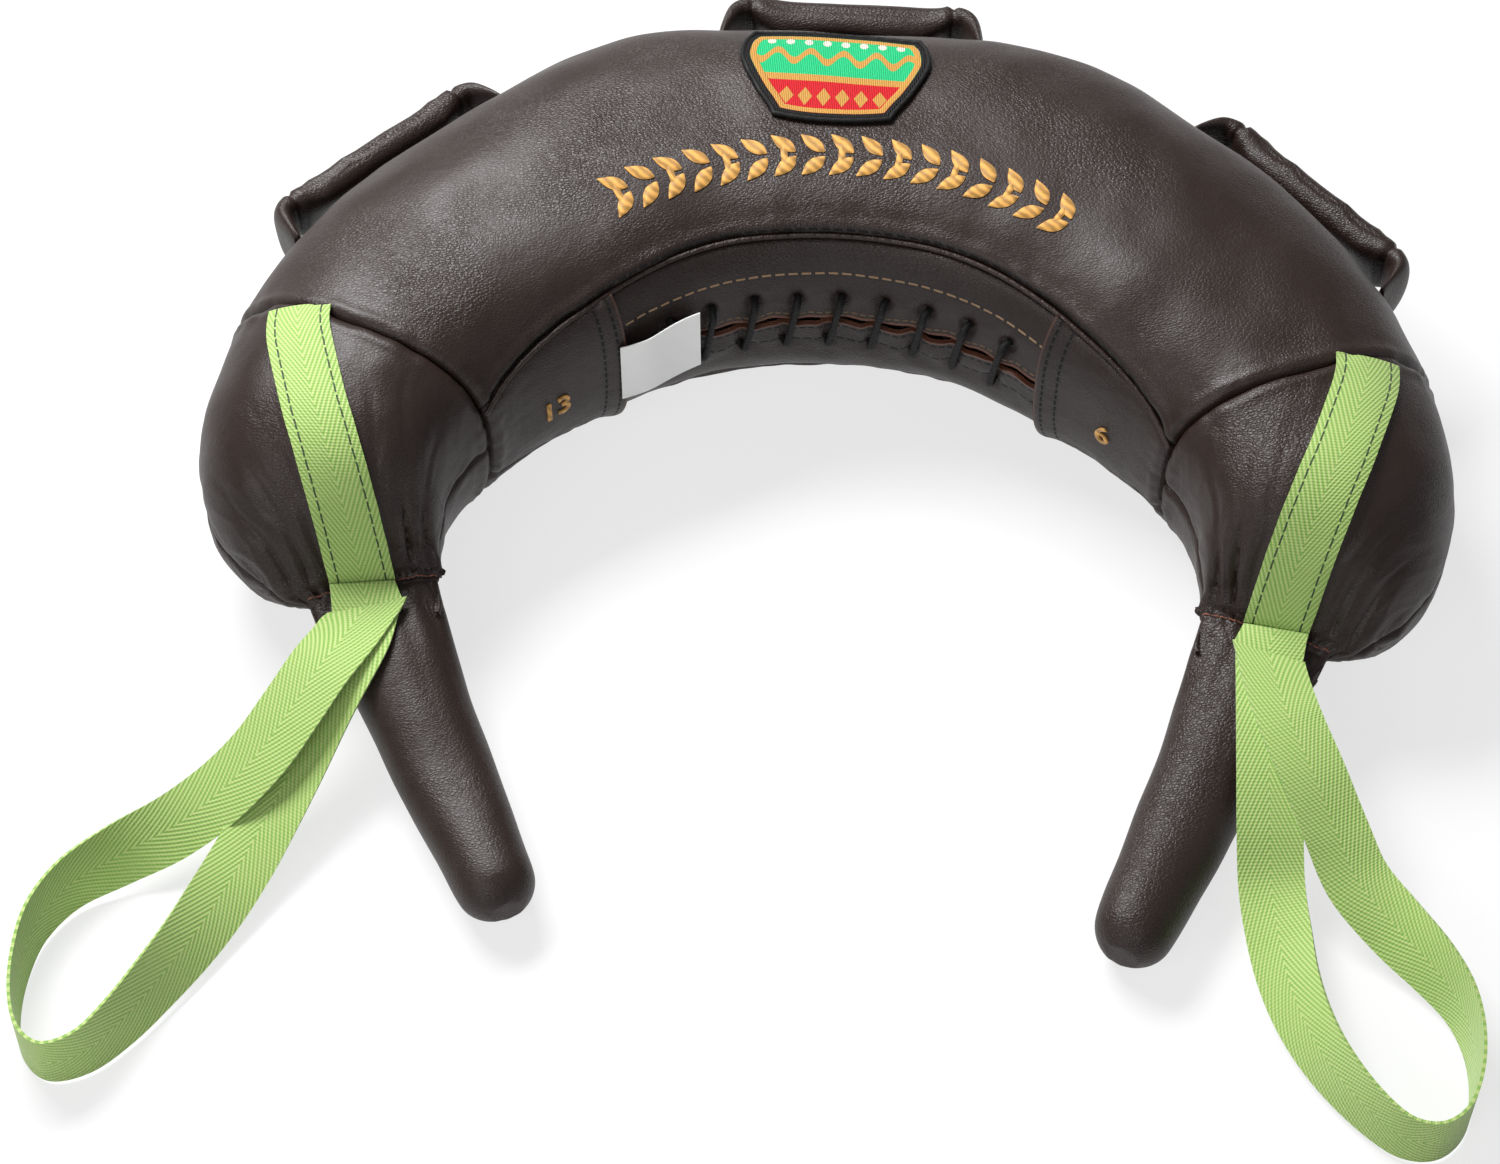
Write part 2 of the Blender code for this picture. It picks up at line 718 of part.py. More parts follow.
def make_filling(parts, wool, sacking):
    """Five wadding sleeves in a row, each round its own sack of sand."""
    outside = LEATHER + FILLING_GAP
    lace_room = LEATHER + 2 * LACE_CLEARANCE + LACE_DIAMETER + FILLING_GAP
    inside = outside + WADDING
    for number, (start, end) in enumerate(zip(SLEEVE_STATIONS, SLEEVE_STATIONS[1:]), 1):
        length = (section(end)["centre"] - section(start)["centre"]).length
        trim = SEAM_GAP / 2 / length
        ends = (lerp(start, end, trim), lerp(start, end, 1 - trim))
        stations = spread(*ends, SLEEVE_ROWS)
        sleeve(
            f"wadding_{number}",
            [filling_ring(k, outside, lace_room) for k in stations],
            [filling_ring(k, inside, lace_room + WADDING) for k in stations],
            parts,
            wool,
        )
        make_sack(f"sand_sack_{number}", start, end, inside + SACK_GAP, lace_room + WADDING, parts, sacking)


def make_sack(name, start, end, inset, inner_limit, parts, look):
    """A sack whose ends draw in, inside its sleeve."""
    shares = list(SACK_END_SHARES) + [(along, 1.0) for along in SACK_MIDDLE_SHARES]
    shares += [(1 - along, girth) for along, girth in reversed(SACK_END_SHARES)]
    rings = []
    for along, girth in shares:
        station = lerp(start, end, lerp(0.02, 0.98, along))
        ring = filling_ring(station, inset, inner_limit + SACK_GAP)
        middle = sum(ring, Vector((0, 0, 0))) / len(ring)
        rings.append([middle + (p - middle) * girth for p in ring])
    loft(name, rings, parts, look)


def skin_tree():
    """The outer face of the front, back and end panels without their seams, to rest other pieces on."""
    verts, faces = [], []
    grids = [(main_stations(), front_angles), (main_stations(), back_angles)]
    for sign in SIDES.values():
        grids += [(end_stations(sign), end_front_angles), (end_stations(sign), end_back_angles)]
    for stations, angles_at in grids:
        rows = [[skin(k, a) for a in angles_at(k)] for k in stations]
        width = len(rows[0])
        for i in range(len(rows) - 1):
            for j in range(width - 1):
                corner = len(verts) + i * width + j
                faces.append((corner, corner + 1, corner + width + 1))
                faces.append((corner, corner + width + 1, corner + width))
        verts += [point for row in rows for point in row]
    return BVHTree.FromPolygons(verts, faces)


def rest_on_top(tree, place):
    """Where a vertical line through a place meets the skin from above, and the outward normal there."""
    hit, normal, _, _ = tree.ray_cast(Vector((place.x, place.y, 2 * BODY_HEIGHT)), Vector((0, 0, -1)))
    return hit, (-normal if normal.z < 0 else normal)


def lowest_split(near, next_near, far, next_far, u, v):
    """The lower height at shares u and v of a four-cornered face, however it is cut into triangles."""
    if u > v:
        first = near.z + u * (far.z - near.z) + v * (next_far.z - far.z)
    else:
        first = near.z + v * (next_near.z - near.z) + u * (next_far.z - next_near.z)
    if u + v < 1:
        second = near.z + u * (far.z - near.z) + v * (next_near.z - near.z)
    else:
        second = next_far.z + (1 - u) * (next_near.z - next_far.z) + (1 - v) * (far.z - next_far.z)
    return min(first, second)


def lift_clear(tree, low):
    """Lifts the corners of each face of a laid grid until the whole face clears the skin."""
    shares = spread(0, 1, DRAPE_SAMPLES)
    for i in range(len(low) - 1):
        for j in range(len(low[0]) - 1):
            near, next_near = low[i][j], low[i][j + 1]
            far, next_far = low[i + 1][j], low[i + 1][j + 1]
            lack = 0.0
            for u in shares:
                for v in shares:
                    place = near.lerp(next_near, v).lerp(far.lerp(next_far, v), u)
                    hit, normal = rest_on_top(tree, place)
                    height = lowest_split(near, next_near, far, next_far, u, v)
                    lack = max(lack, hit.z + DRAPE_GAP / normal.z - height)
            for corner in (near, next_near, far, next_far):
                corner.z += lack


def drape(name, tree, grid, thickness, parts, look):
    """A thin piece laid on the skin over a grid of plan points."""
    low, normals = [], []
    for row in grid:
        hits = [rest_on_top(tree, p) for p in row]
        normals.append(sum((n for _, n in hits), Vector((0, 0, 0))).normalized())
        low.append([hit + normals[-1] * DRAPE_GAP for hit, _ in hits])
    lift_clear(tree, low)
    high = [[place + normals[i] * thickness for place in row] for i, row in enumerate(low)]
    return sheet_solid(name, high, low, parts, look)


def make_badge(parts, tree, look):
    grid = []
    for up, width, arch in BADGE_SHARES:
        row = []
        for j in range(BADGE_COLUMNS + 1):
            across = 2 * j / BADGE_COLUMNS - 1
            forward = BADGE_FOOT + BADGE_HEIGHT * (up + arch * (1 - across**2))
            row.append(Vector((across * width * BADGE_WIDTH / 2 - BADGE_ASIDE, forward, 0)))
        grid.append(row)
    return drape("badge_patch", tree, grid, BADGE_THICKNESS, parts, look)


def strap_middle(station):
    s = section(station)
    share = float(np.interp(abs(station), STRAP_STATIONS, STRAP_MIDDLE_SHARES))
    return s["centre"] + s["out"] * s["half_width"] * (2 * share - 1)


def strap_grid(sign):
    """Plan points of a sewn strap. Its far end is cut along the choke seam."""
    stations = [sign * k for k in spread(STRAP_START_STATION, STRAP_END_STATION, STRAP_ROWS)]
    middles = [strap_middle(k) for k in stations]
    grid = []
    for i, middle in enumerate(middles):
        ahead = middles[min(i + 1, len(middles) - 1)] - middles[max(i - 1, 0)]
        square = Vector((-ahead.y, ahead.x, 0)).normalized()
        slant = section(stations[i])["out"] * sign
        across = square.lerp(slant, (i / STRAP_ROWS) ** 2).normalized()
        across *= WEBBING_WIDTH / across.dot(square)
        grid.append([middle + across * (j / STRAP_COLUMNS - 0.5) for j in range(STRAP_COLUMNS + 1)])
    return grid


def make_sewn_straps(parts, tree, look):
    """The stretches of webbing that are sewn down the arms, from the end seam to the choke."""
    for side, sign in SIDES.items():
        drape(f"{side}_strap_sewn", tree, strap_grid(sign), WEBBING, parts, look)


def handle_rings(tree, angle, stand_off):
    """The rings of a handle whose middle line stands off the outer wall at this angle."""
    out = polar(angle, 1.0)
    along = Vector((-out.y, out.x, 0))
    up = Vector((0, 0, 1))
    wall = tree.ray_cast(out * 2 * (INNER_RADIUS + BODY_WIDTH) + up * HANDLE_CENTRE, -out)[0]
    reach = wall.dot(out) + stand_off
    foot_start = out * reach + along * HANDLE_LENGTH / 2 + up * HANDLE_CENTRE
    far_start = out * reach - along * HANDLE_LENGTH / 2 + up * HANDLE_CENTRE
    drops = []
    for start in (foot_start, far_start):
        place = tree.ray_cast(start, -out)[0]
        drops.append((start - place).length - HANDLE_GAP)
    line = []
    for end, drop in ((1, drops[0]), (-1, drops[1])):
        half = []
        for share, fall, foot in HANDLE_SHARES:
            place = out * (reach - drop * fall) + along * (end * HANDLE_LENGTH / 2 * share) + up * HANDLE_CENTRE
            half.append((place, foot))
        line.append(half)
    path = list(reversed(line[1])) + line[0][1:]
    rings = []
    for i, (place, foot) in enumerate(path):
        ahead = (path[min(i + 1, len(path) - 1)][0] - path[max(i - 1, 0)][0]).normalized()
        if i in (0, len(path) - 1):
            ahead = out if i == 0 else -out
        side = up.cross(ahead)
        half_thick = lerp(HANDLE_THICKNESS, HANDLE_FOOT_THICKNESS, foot) / 2
        half_high = lerp(HANDLE_HEIGHT, HANDLE_FOOT_HEIGHT, foot) / 2
        ring = []
        for j in range(HANDLE_SIDES):
            turn = 2 * math.pi * (j + 0.5) / HANDLE_SIDES
            ring.append(
                place
                + side * (half_thick * rounded(math.cos(turn), HANDLE_ROUNDNESS))
                + up * (half_high * rounded(math.sin(turn), HANDLE_ROUNDNESS))
            )
        rings.append(ring)
    return rings


def make_handles(parts, tree, look):
    handles = (
        ("top_handle", 90.0, TOP_HANDLE_STAND_OFF),
        ("right_handle", SIDE_HANDLE_DEG, SIDE_HANDLE_STAND_OFF),
        ("left_handle", 180 - SIDE_HANDLE_DEG, SIDE_HANDLE_STAND_OFF),
    )
    for name, angle, stand_off in handles:
        loft(name, handle_rings(tree, angle, stand_off), parts, look)


def choke_frame(side):
    """The hinge of a grip: its middle, its axis pointing outward along the seam, and the way forward."""
    sign = SIDES[side]
    inner, outer = choke_turn(sign)
    along = (outer - inner).normalized()
    forward = Vector((along.y, -along.x, 0)) * sign
    middle = (inner + outer) / 2 + forward * (CHOKE_THICKNESS / 2 + REST_GAP)
    middle.z = CHOKE_HEIGHT
    return middle, along, forward


def grip_ring(side, length_share, inset=0.0, shrink=1.0, past=0.0):
    """A ring of a grip, square to its middle line, inset from its skin."""
    middle, _, forward = choke_frame(side)
    sign = SIDES[side]
    lean = math.radians(GRIP_LEAN_DEG[side])
    leaning = Vector((-math.sin(lean) * sign, -math.cos(lean), 0))
    shares = [row[0] for row in GRIP_SHARES]
    width, top, bottom = (float(np.interp(length_share, shares, [row[c] for row in GRIP_SHARES])) for c in (1, 2, 3))
    straight = GRIP_LENGTH - GRIP_TIP_WIDTH / 2
    place = middle + leaning * (straight * length_share / GRIP_SHARES[-1][0] + past)
    turn = min(length_share / GRIP_SHARES[2][0], 1.0)
    ahead = forward.lerp(leaning, turn).normalized()
    across = Vector((ahead.y, -ahead.x, 0))
    high = lerp(CHOKE_HEIGHT + CHOKE_THICKNESS / 2, GRIP_THICKNESS, top)
    low = lerp(CHOKE_HEIGHT - CHOKE_THICKNESS / 2, 0.0, bottom)
    half_width = (lerp(GRIP_WIDTH, GRIP_TIP_WIDTH, width) / 2) * shrink - inset
    half_high = (high - low) / 2 * shrink - inset
    ring = []
    for j in range(GRIP_SIDES):
        angle = 2 * math.pi * j / GRIP_SIDES
        power = 2 / GRIP_ROUNDNESS
        right = math.copysign(abs(math.cos(angle)) ** power, math.cos(angle))
        up = math.copysign(abs(math.sin(angle)) ** power, math.sin(angle))
        point = place + across * (half_width * right)
        point.z = (high + low) / 2 + half_high * up
        ring.append(point)
    return ring


def nose_ring(side, back_share, inset=0.0):
    """A ring of the round nose with which a grip turns in its choke seam."""
    middle, along, forward = choke_frame(side)
    radius = CHOKE_THICKNESS / 2
    half_high = radius * math.sqrt(1 - back_share**2) - inset
    half_width = GRIP_WIDTH / 2 - inset - radius * (1 - math.sqrt(1 - back_share**2))
    ring = []
    for j in range(GRIP_SIDES):
        angle = 2 * math.pi * j / GRIP_SIDES
        power = 2 / GRIP_ROUNDNESS
        right = math.copysign(abs(math.cos(angle)) ** power, math.cos(angle))
        up = math.copysign(abs(math.sin(angle)) ** power, math.sin(angle))
        across = Vector((forward.y, -forward.x, 0))
        point = middle - forward * (radius * back_share) + across * (half_width * right)
        point.z = middle.z + half_high * up
        ring.append(point)
    return ring


NOSE_SHARES = (0.97, 0.8, 0.5)
NOSE_MOUTH_SHARE = 0.5
NOSE_WALL_SHARE = 0.3


def make_grips(parts, look, foam):
    """Each grip is a leather sleeve, open into the choke seam, round a core of foam."""
    tip_reach = GRIP_TIP_WIDTH / 2
    for side in SIDES:
        lengths = [row[0] for row in GRIP_SHARES]
        last = lengths[-1]
        wall = CHOKE_THICKNESS / 2 * NOSE_WALL_SHARE
        outer = [nose_ring(side, share) for share in NOSE_SHARES]
        outer += [grip_ring(side, s) for s in lengths]
        outer += [grip_ring(side, last, 0.0, girth, tip_reach * past) for past, girth in GRIP_TIP_SHARES[1:]]
        inner = [nose_ring(side, NOSE_MOUTH_SHARE, wall)]
        inner += [grip_ring(side, s, LEATHER) for s in lengths]
        inner += [grip_ring(side, last, LEATHER, GRIP_TIP_SHARES[1][1], tip_reach * GRIP_TIP_SHARES[1][0])]
        sleeve(f"{side}_grip", outer, inner, parts, look)
        make_grip_stuffing(side, lengths, parts, foam)


def make_grip_stuffing(side, lengths, parts, look):
    inset = LEATHER + STUFFING_GAP
    start = STUFFING_START / GRIP_LENGTH
    shares = [start] + [s for s in lengths if s > start]
    rings = [grip_ring(side, s, inset) for s in shares]
    loft(f"{side}_grip_stuffing", rings, parts, look)


def loop_root(side):
    """The middle of the fold from which a hand loop swings, on top of the grip's nose."""
    middle, along, forward = choke_frame(side)
    root = middle + along * LOOP_ROOT_OUT + forward * LOOP_ROOT_FORWARD
    root.z = CHOKE_HEIGHT + CHOKE_THICKNESS / 2 + REST_GAP + WEBBING / 2
    return root


def loop_place(side, share):
    sign = SIDES[side]
    table = LOOP_SHARES[side]
    out, forward, up, turn = smooth_row(table, share * (len(table) - 1))
    place = loop_root(side) + Vector((sign * out, -forward, up)) * LOOP_REACH
    place.z += (WEBBING + LOOP_PLY_GAP) * max(1 - 2 * share, 0.0)
    return place, turn


def loop_rings(side):
    """Rings of webbing along the loop. Its two ends lie on each other along the fold, across the bag."""
    sign = SIDES[side]
    along = choke_frame(side)[1]
    count = LOOP_ROWS
    places = [loop_place(side, i / count) for i in range(count + 1)]
    rings = []
    for i, (place, turn) in enumerate(places):
        ahead = (places[min(i + 1, count)][0] - places[max(i - 1, 0)][0]).normalized()
        flat = Vector((ahead.y, -ahead.x, 0)).normalized() * -sign
        from_end = min(i, count - i) / LOOP_FOLD_ROWS
        if from_end < 1:
            fold = along * math.copysign(1, flat.dot(along))
            flat = fold.lerp(flat, from_end).normalized()
        tilt = math.radians(turn)
        wide = flat * math.cos(tilt) + Vector((0, 0, 1)) * math.sin(tilt)
        wide -= ahead * wide.dot(ahead) * (0 if i in (0, count) else 1)
        wide.normalize()
        thin = ahead.cross(wide).normalized()
        half_wide = wide * (WEBBING_WIDTH / 2)
        half_thin = thin * (WEBBING / 2)
        rings.append(
            [
                place + half_wide + half_thin,
                place - half_wide + half_thin,
                place - half_wide - half_thin,
                place + half_wide - half_thin,
            ]
        )
    return rings


def make_loops(parts, look):
    for side in SIDES:
        ribbon(f"{side}_strap_loop", loop_rings(side), parts, look)


def put_origin(name, place):
    """Moves an object's origin to a place without moving its mesh."""
    obj = bpy.data.objects[name]
    obj.data.transform(Matrix.Translation(-place))
    obj.location = place


def hang_on_hinges():
    """The origins of the moving pieces lie on their hinges."""
    for side in SIDES:
        hinge = choke_frame(side)[0]
        for name in (f"{side}_grip", f"{side}_grip_stuffing"):
            put_origin(name, hinge)
        put_origin(f"{side}_strap_loop", loop_root(side))


def centre_on_floor(parts, cutters):
    """Moves all pieces so that the middle of their box stands over the origin."""
    bpy.context.view_layer.update()
    graph = bpy.context.evaluated_depsgraph_get()
    corners = []
    for obj in parts.objects:
        found = obj.evaluated_get(graph)
        mesh = found.to_mesh()
        places = np.empty(len(mesh.vertices) * 3)
        mesh.vertices.foreach_get("co", places)
        found.to_mesh_clear()
        places = places.reshape(-1, 3) + np.array(obj.location)
        corners += [places.min(axis=0), places.max(axis=0)]
    low, high = np.min(corners, axis=0), np.max(corners, axis=0)
    shift = Vector(((low[0] + high[0]) / 2, (low[1] + high[1]) / 2, low[2]))
    for obj in list(parts.objects) + list(cutters.objects):
        obj.location -= shift
    for side in SIDES:
        hinge, axis, _ = choke_frame(side)
        print(f"{side} grip hinge at", rounded_mm(hinge - shift), "along", [round(v, 4) for v in axis])
        print(f"{side} loop hinge at", rounded_mm(loop_root(side) - shift))
    print("horseshoe centre at", rounded_mm(-shift), "size", rounded_mm(Vector(high - low)))


def rounded_mm(place):
    return [round(v / MM, 2) for v in place]


def build():
    clear_scene()
    parts = new_collection("bulgarian_bag")
    cutters = new_collection("cutters")
    cutters.hide_render = True
    leather = material("brown leather", LEATHER_COLOUR, 0.42)
    lining = material("gusset leather", LINING_COLOUR, 0.5)
    padded = material("handle leather", HANDLE_COLOUR, 0.45)
    webbing = material("green webbing", WEBBING_COLOUR, 0.7)
    wool = material("wadding", WADDING_COLOUR, 0.95)
    sacking = material("sand sack", SACK_COLOUR, 0.9)
    make_main_panels(parts, leather)
    make_end_panels(parts, leather)
    make_gusset_flaps(parts, lining)
    make_lips(parts, cutters, lining)
    make_lace(parts, material("black lace", LACE_COLOUR, 0.6))
    make_label(parts, material("white satin", LABEL_COLOUR, 0.4))
    make_filling(parts, wool, sacking)
    tree = skin_tree()
    make_badge(parts, tree, material("badge embroidery", BADGE_COLOUR, 0.6))
    make_sewn_straps(parts, tree, webbing)
    make_handles(parts, tree, padded)
    make_grips(parts, leather, material("foam", FOAM_COLOUR, 0.9))
    make_loops(parts, webbing)
    hang_on_hinges()
    centre_on_floor(parts, cutters)


build()
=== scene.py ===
"""Bulgarian bag: leather, webbing, lace and embroidery over its fixed frame."""

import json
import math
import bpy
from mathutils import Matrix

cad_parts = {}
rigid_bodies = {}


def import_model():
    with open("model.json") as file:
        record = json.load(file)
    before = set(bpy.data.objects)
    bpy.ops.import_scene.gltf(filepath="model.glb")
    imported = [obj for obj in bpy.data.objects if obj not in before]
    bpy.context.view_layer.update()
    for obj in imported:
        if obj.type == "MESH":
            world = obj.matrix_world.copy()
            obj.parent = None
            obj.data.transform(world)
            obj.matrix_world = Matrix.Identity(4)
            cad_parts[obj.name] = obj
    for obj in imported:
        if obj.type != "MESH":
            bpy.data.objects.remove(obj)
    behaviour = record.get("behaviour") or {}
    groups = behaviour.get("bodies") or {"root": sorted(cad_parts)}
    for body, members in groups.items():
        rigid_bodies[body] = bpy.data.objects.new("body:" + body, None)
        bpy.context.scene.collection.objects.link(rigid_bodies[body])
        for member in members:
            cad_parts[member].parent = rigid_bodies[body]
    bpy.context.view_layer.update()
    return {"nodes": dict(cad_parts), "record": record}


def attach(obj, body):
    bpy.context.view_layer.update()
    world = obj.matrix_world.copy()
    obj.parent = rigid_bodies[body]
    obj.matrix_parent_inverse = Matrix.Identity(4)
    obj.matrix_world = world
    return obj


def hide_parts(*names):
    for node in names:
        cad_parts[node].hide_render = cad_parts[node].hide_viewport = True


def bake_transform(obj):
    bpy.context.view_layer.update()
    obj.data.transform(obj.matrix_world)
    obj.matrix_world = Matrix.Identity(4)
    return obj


bl_info = {
    "name": "Bulgarian bag",
    "version": (1, 0, 0),
    "blender": (4, 5, 0),
    "location": "View3D > Sidebar > Bag",
    "description": "Builds the leather, webbing and trim of a bulgarian bag over its frame",
    "category": "Object",
}

import bpy
import numpy as np
from bpy.props import FloatProperty, FloatVectorProperty, IntProperty, PointerProperty
from mathutils import Matrix, Vector, noise

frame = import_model()
MM = 0.001

# The horseshoe's stations: inner and outer angle, shares of inner radius, width and height, closure
STATION_SHARES = (
    (90.0, 90.0, 1.000, 0.953, 1.000, 0.00),
    (81.0, 81.0, 1.000, 0.984, 1.000, 0.00),
    (72.0, 72.0, 1.003, 1.018, 1.005, 0.00),
    (63.0, 63.0, 1.008, 1.004, 1.005, 0.00),
    (54.0, 54.0, 1.016, 0.960, 1.000, 0.00),
    (45.0, 45.0, 1.034, 0.942, 0.990, 0.00),
    (36.0, 36.0, 1.075, 0.900, 0.975, 0.00),
    (28.0, 28.5, 1.118, 0.858, 0.960, 0.00),
    (22.0, 21.5, 1.150, 0.815, 0.945, 0.00),
    (16.5, 15.0, 1.185, 0.762, 0.935, 0.00),
    (11.6, 8.5, 1.204, 0.725, 0.930, 0.04),
    (8.0, 3.6, 1.208, 0.710, 0.925, 0.16),
    (5.3, -0.4, 1.208, 0.705, 0.920, 0.38),
    (3.3, -2.8, 1.206, 0.705, 0.920, 0.62),
    (1.9, -4.4, 1.204, 0.705, 0.920, 0.86),
    (0.7, -4.5, 1.200, 0.700, 0.920, 1.00),
)
LAST_STATION = 15
END_SEAM = 8.0
FLAP_EDGE = 4.7
INNER_RADIUS = 147 * MM
BODY_WIDTH = 170 * MM
BODY_HEIGHT = 132 * MM
FLAT_SHARE = 0.05
CHOKE_RADIUS = 208.5 * MM
CHOKE_WIDTH = 67 * MM
CHOKE_HEIGHT = 45 * MM
CHOKE_THICKNESS = 9 * MM
HINGE_GAP = 0.35 * MM
STITCH_PITCH = 4.1 * MM
SIDES = {"left": -1.0, "right": 1.0}
FINE_STEPS = 361
RAY_HEIGHT = 0.3
DARK_THREAD = (0.0022, 0.0017, 0.0015)
RAW_LEATHER = (0.115, 0.042, 0.024)

# The shares of white that the floor shows, and that the world shows to glossy rays
FLOOR_SHARE = 0.72
GLOSSY_SHARE = 0.2

# The lace in its rounded loops
LACE_CROSSINGS = 9
LACE_HEIGHT = 33 * MM
LACE_REACH = 3.6
LACE_SLANT = 0.3
LACE_BEND = 3 * MM
LACE_LIFT = 4.25 * MM
LIP_LEATHER = 2.5 * MM

# Each loop's line: outward, forward, up as shares of its reach, and the turn of the webbing in degrees
LOOP_SHARES = {
    "left": (
        (0.000, 0.000, 0.0000, 0), (0.032, 0.068, 0.0000, 0),
        (0.072, 0.140, -0.0020, 2), (0.116, 0.216, -0.0260, 4),
        (0.168, 0.292, -0.0600, 8), (0.236, 0.360, -0.0960, 16),
        (0.316, 0.420, -0.1240, 32), (0.408, 0.476, -0.1370, 52),
        (0.488, 0.540, -0.1370, 70), (0.536, 0.620, -0.1350, 80),
        (0.552, 0.708, -0.1350, 86), (0.548, 0.796, -0.1350, 90),
        (0.524, 0.864, -0.1350, 92), (0.476, 0.898, -0.1350, 96),
        (0.412, 0.874, -0.1350, 102), (0.356, 0.808, -0.1370, 112),
        (0.304, 0.724, -0.1390, 122), (0.256, 0.636, -0.1420, 134),
        (0.216, 0.548, -0.1430, 150), (0.180, 0.464, -0.1360, 164),
        (0.144, 0.380, -0.1140, 172), (0.108, 0.296, -0.0860, 176),
        (0.072, 0.212, -0.0500, 178), (0.036, 0.136, -0.0160, 180),
        (0.010, 0.068, -0.0010, 180), (0.000, 0.000, 0.0000, 180),
    ),
    "right": (
        (0.000, 0.000, 0.0000, 0), (0.016, 0.072, 0.0000, 0),
        (0.040, 0.150, -0.0040, 2), (0.080, 0.240, -0.0260, 4),
        (0.124, 0.330, -0.0700, 8), (0.168, 0.410, -0.1120, 18),
        (0.236, 0.486, -0.1340, 36), (0.300, 0.560, -0.1370, 56),
        (0.346, 0.630, -0.1370, 72), (0.368, 0.708, -0.1350, 82),
        (0.368, 0.790, -0.1350, 88), (0.346, 0.862, -0.1350, 92),
        (0.300, 0.902, -0.1350, 96), (0.240, 0.898, -0.1350, 100),
        (0.180, 0.850, -0.1350, 106), (0.120, 0.774, -0.1370, 116),
        (0.076, 0.692, -0.1400, 128), (0.046, 0.604, -0.1420, 142),
        (0.028, 0.512, -0.1400, 158), (0.014, 0.420, -0.1220, 168),
        (0.006, 0.330, -0.0660, 176), (0.002, 0.240, -0.0240, 178),
        (0.000, 0.150, -0.0030, 180), (0.000, 0.072, 0.0000, 180),
        (0.000, 0.000, 0.0000, 180),
    ),
}
LOOP_REACH = 250 * MM
LOOP_ROOT_OUT = 4.5 * MM
LOOP_ROOT_FORWARD = 8.5 * MM
LOOP_PLY_GAP = 0.5 * MM
STRAP_FLOOR = CHOKE_HEIGHT + CHOKE_THICKNESS / 2 + HINGE_GAP
STRAP_COLUMNS = np.linspace(-0.5, 0.5, 13)
STRAP_STATIONS = (8.0, 9.0, 10.0, 11.0, 12.0, 13.0, 14.0, 15.0)
STRAP_MIDDLES = (0.73, 0.595, 0.49, 0.445, 0.44, 0.465, 0.515, 0.548)


class BagSizes(bpy.types.PropertyGroup):
    leather: FloatProperty(name="Leather", description="Thickness of the leather", default=2.3 * MM, unit="LENGTH")
    lumps: FloatProperty(name="Lumps", description="Depth of the filling's lumps", default=2.0 * MM, unit="LENGTH")
    puckers: FloatProperty(name="Puckers", description="Depth of the folds at a choke", default=3.0 * MM, unit="LENGTH")
    grain: FloatProperty(name="Grain", description="Width of a pebble in the leather", default=1.5 * MM, unit="LENGTH")
    webbing_width: FloatProperty(name="Webbing width", description="Width of a strap", default=30 * MM, unit="LENGTH")
    webbing: FloatProperty(name="Webbing", description="Thickness of a strap", default=1.5 * MM, unit="LENGTH")
    lace: FloatProperty(name="Lace", description="Diameter of the lace", default=3.6 * MM, unit="LENGTH")
    badge_width: FloatProperty(name="Badge width", description="Width of the badge", default=90 * MM, unit="LENGTH")
    badge_height: FloatProperty(name="Badge height", description="Height of the badge", default=58 * MM, unit="LENGTH")
    motifs: IntProperty(name="Motifs", description="Motifs along the gold band", default=17, min=3)


class BagColours(bpy.types.PropertyGroup):
    def colour(name, description, value):
        return FloatVectorProperty(
            name=name, description=description, default=value, size=3, subtype="COLOR", min=0, max=1
        )

    leather: colour("Leather", "Dark brown of the leather", (0.0190, 0.0090, 0.0064))
    leather_light: colour("Worn leather", "Brown where the leather is rubbed", (0.0300, 0.0158, 0.0120))
    # The straps' two greens follow the ribs: the paler one is their green with a painted highlight on the rib tops, the
    # darker one is painted shade between the yarns.
    webbing: colour("Webbing", "Green of the straps", (0.450, 0.570, 0.190))
    webbing_painted_shade: colour("Webbing shade", "Green between the yarns", (0.170, 0.360, 0.050))
    lace: colour("Lace", "Black of the lace", (0.004, 0.004, 0.004))
    gold: colour("Gold thread", "Embroidery thread", (0.640, 0.330, 0.075))
    badge_green: colour("Badge green", "Upper field of the badge", (0.022, 0.560, 0.215))
    badge_red: colour("Badge red", "Lower field of the badge", (0.640, 0.012, 0.020))
    label: colour("Label", "White of the satin label", (0.880, 0.880, 0.870))
    tan: colour("Tan thread", "Stitches on the gusset", (0.300, 0.190, 0.110))
    choke: colour("Choke thread", "Red-brown thread at the chokes", (0.210, 0.065, 0.035))


# ---- the body's form, in the frame's own coordinates


def whole_table():
    left = [(180 - row[0], 180 - row[1], *row[2:]) for row in STATION_SHARES[:0:-1]]
    return np.array(left + list(STATION_SHARES), dtype=float)


STATIONS = whole_table()


def lerp(start, end, share):
    return start + (end - start) * share


def smooth_rows(table, place):
    """Catmull-Rom readings of a table at fractional row numbers."""
    table, place = np.asarray(table, float), np.asarray(place, float)
    last = len(table) - 1
    low = np.clip(np.floor(place).astype(int), 0, last - 1)
    part = (place - low)[..., None]
    rows = [table[np.clip(low + i, 0, last)] for i in (-1, 0, 1, 2)]
    slope_low, slope_high = (rows[2] - rows[0]) / 2, (rows[3] - rows[1]) / 2
    cube, square = part**3, part**2
    return (
        rows[1] * (2 * cube - 3 * square + 1)
        + slope_low * (cube - 2 * square + part)
        + rows[2] * (3 * square - 2 * cube)
        + slope_high * (cube - square)
    )


def polar(angle, radius):
    angle = np.radians(angle)
    return np.stack([radius * np.cos(angle), radius * np.sin(angle), np.zeros_like(angle)], axis=-1)


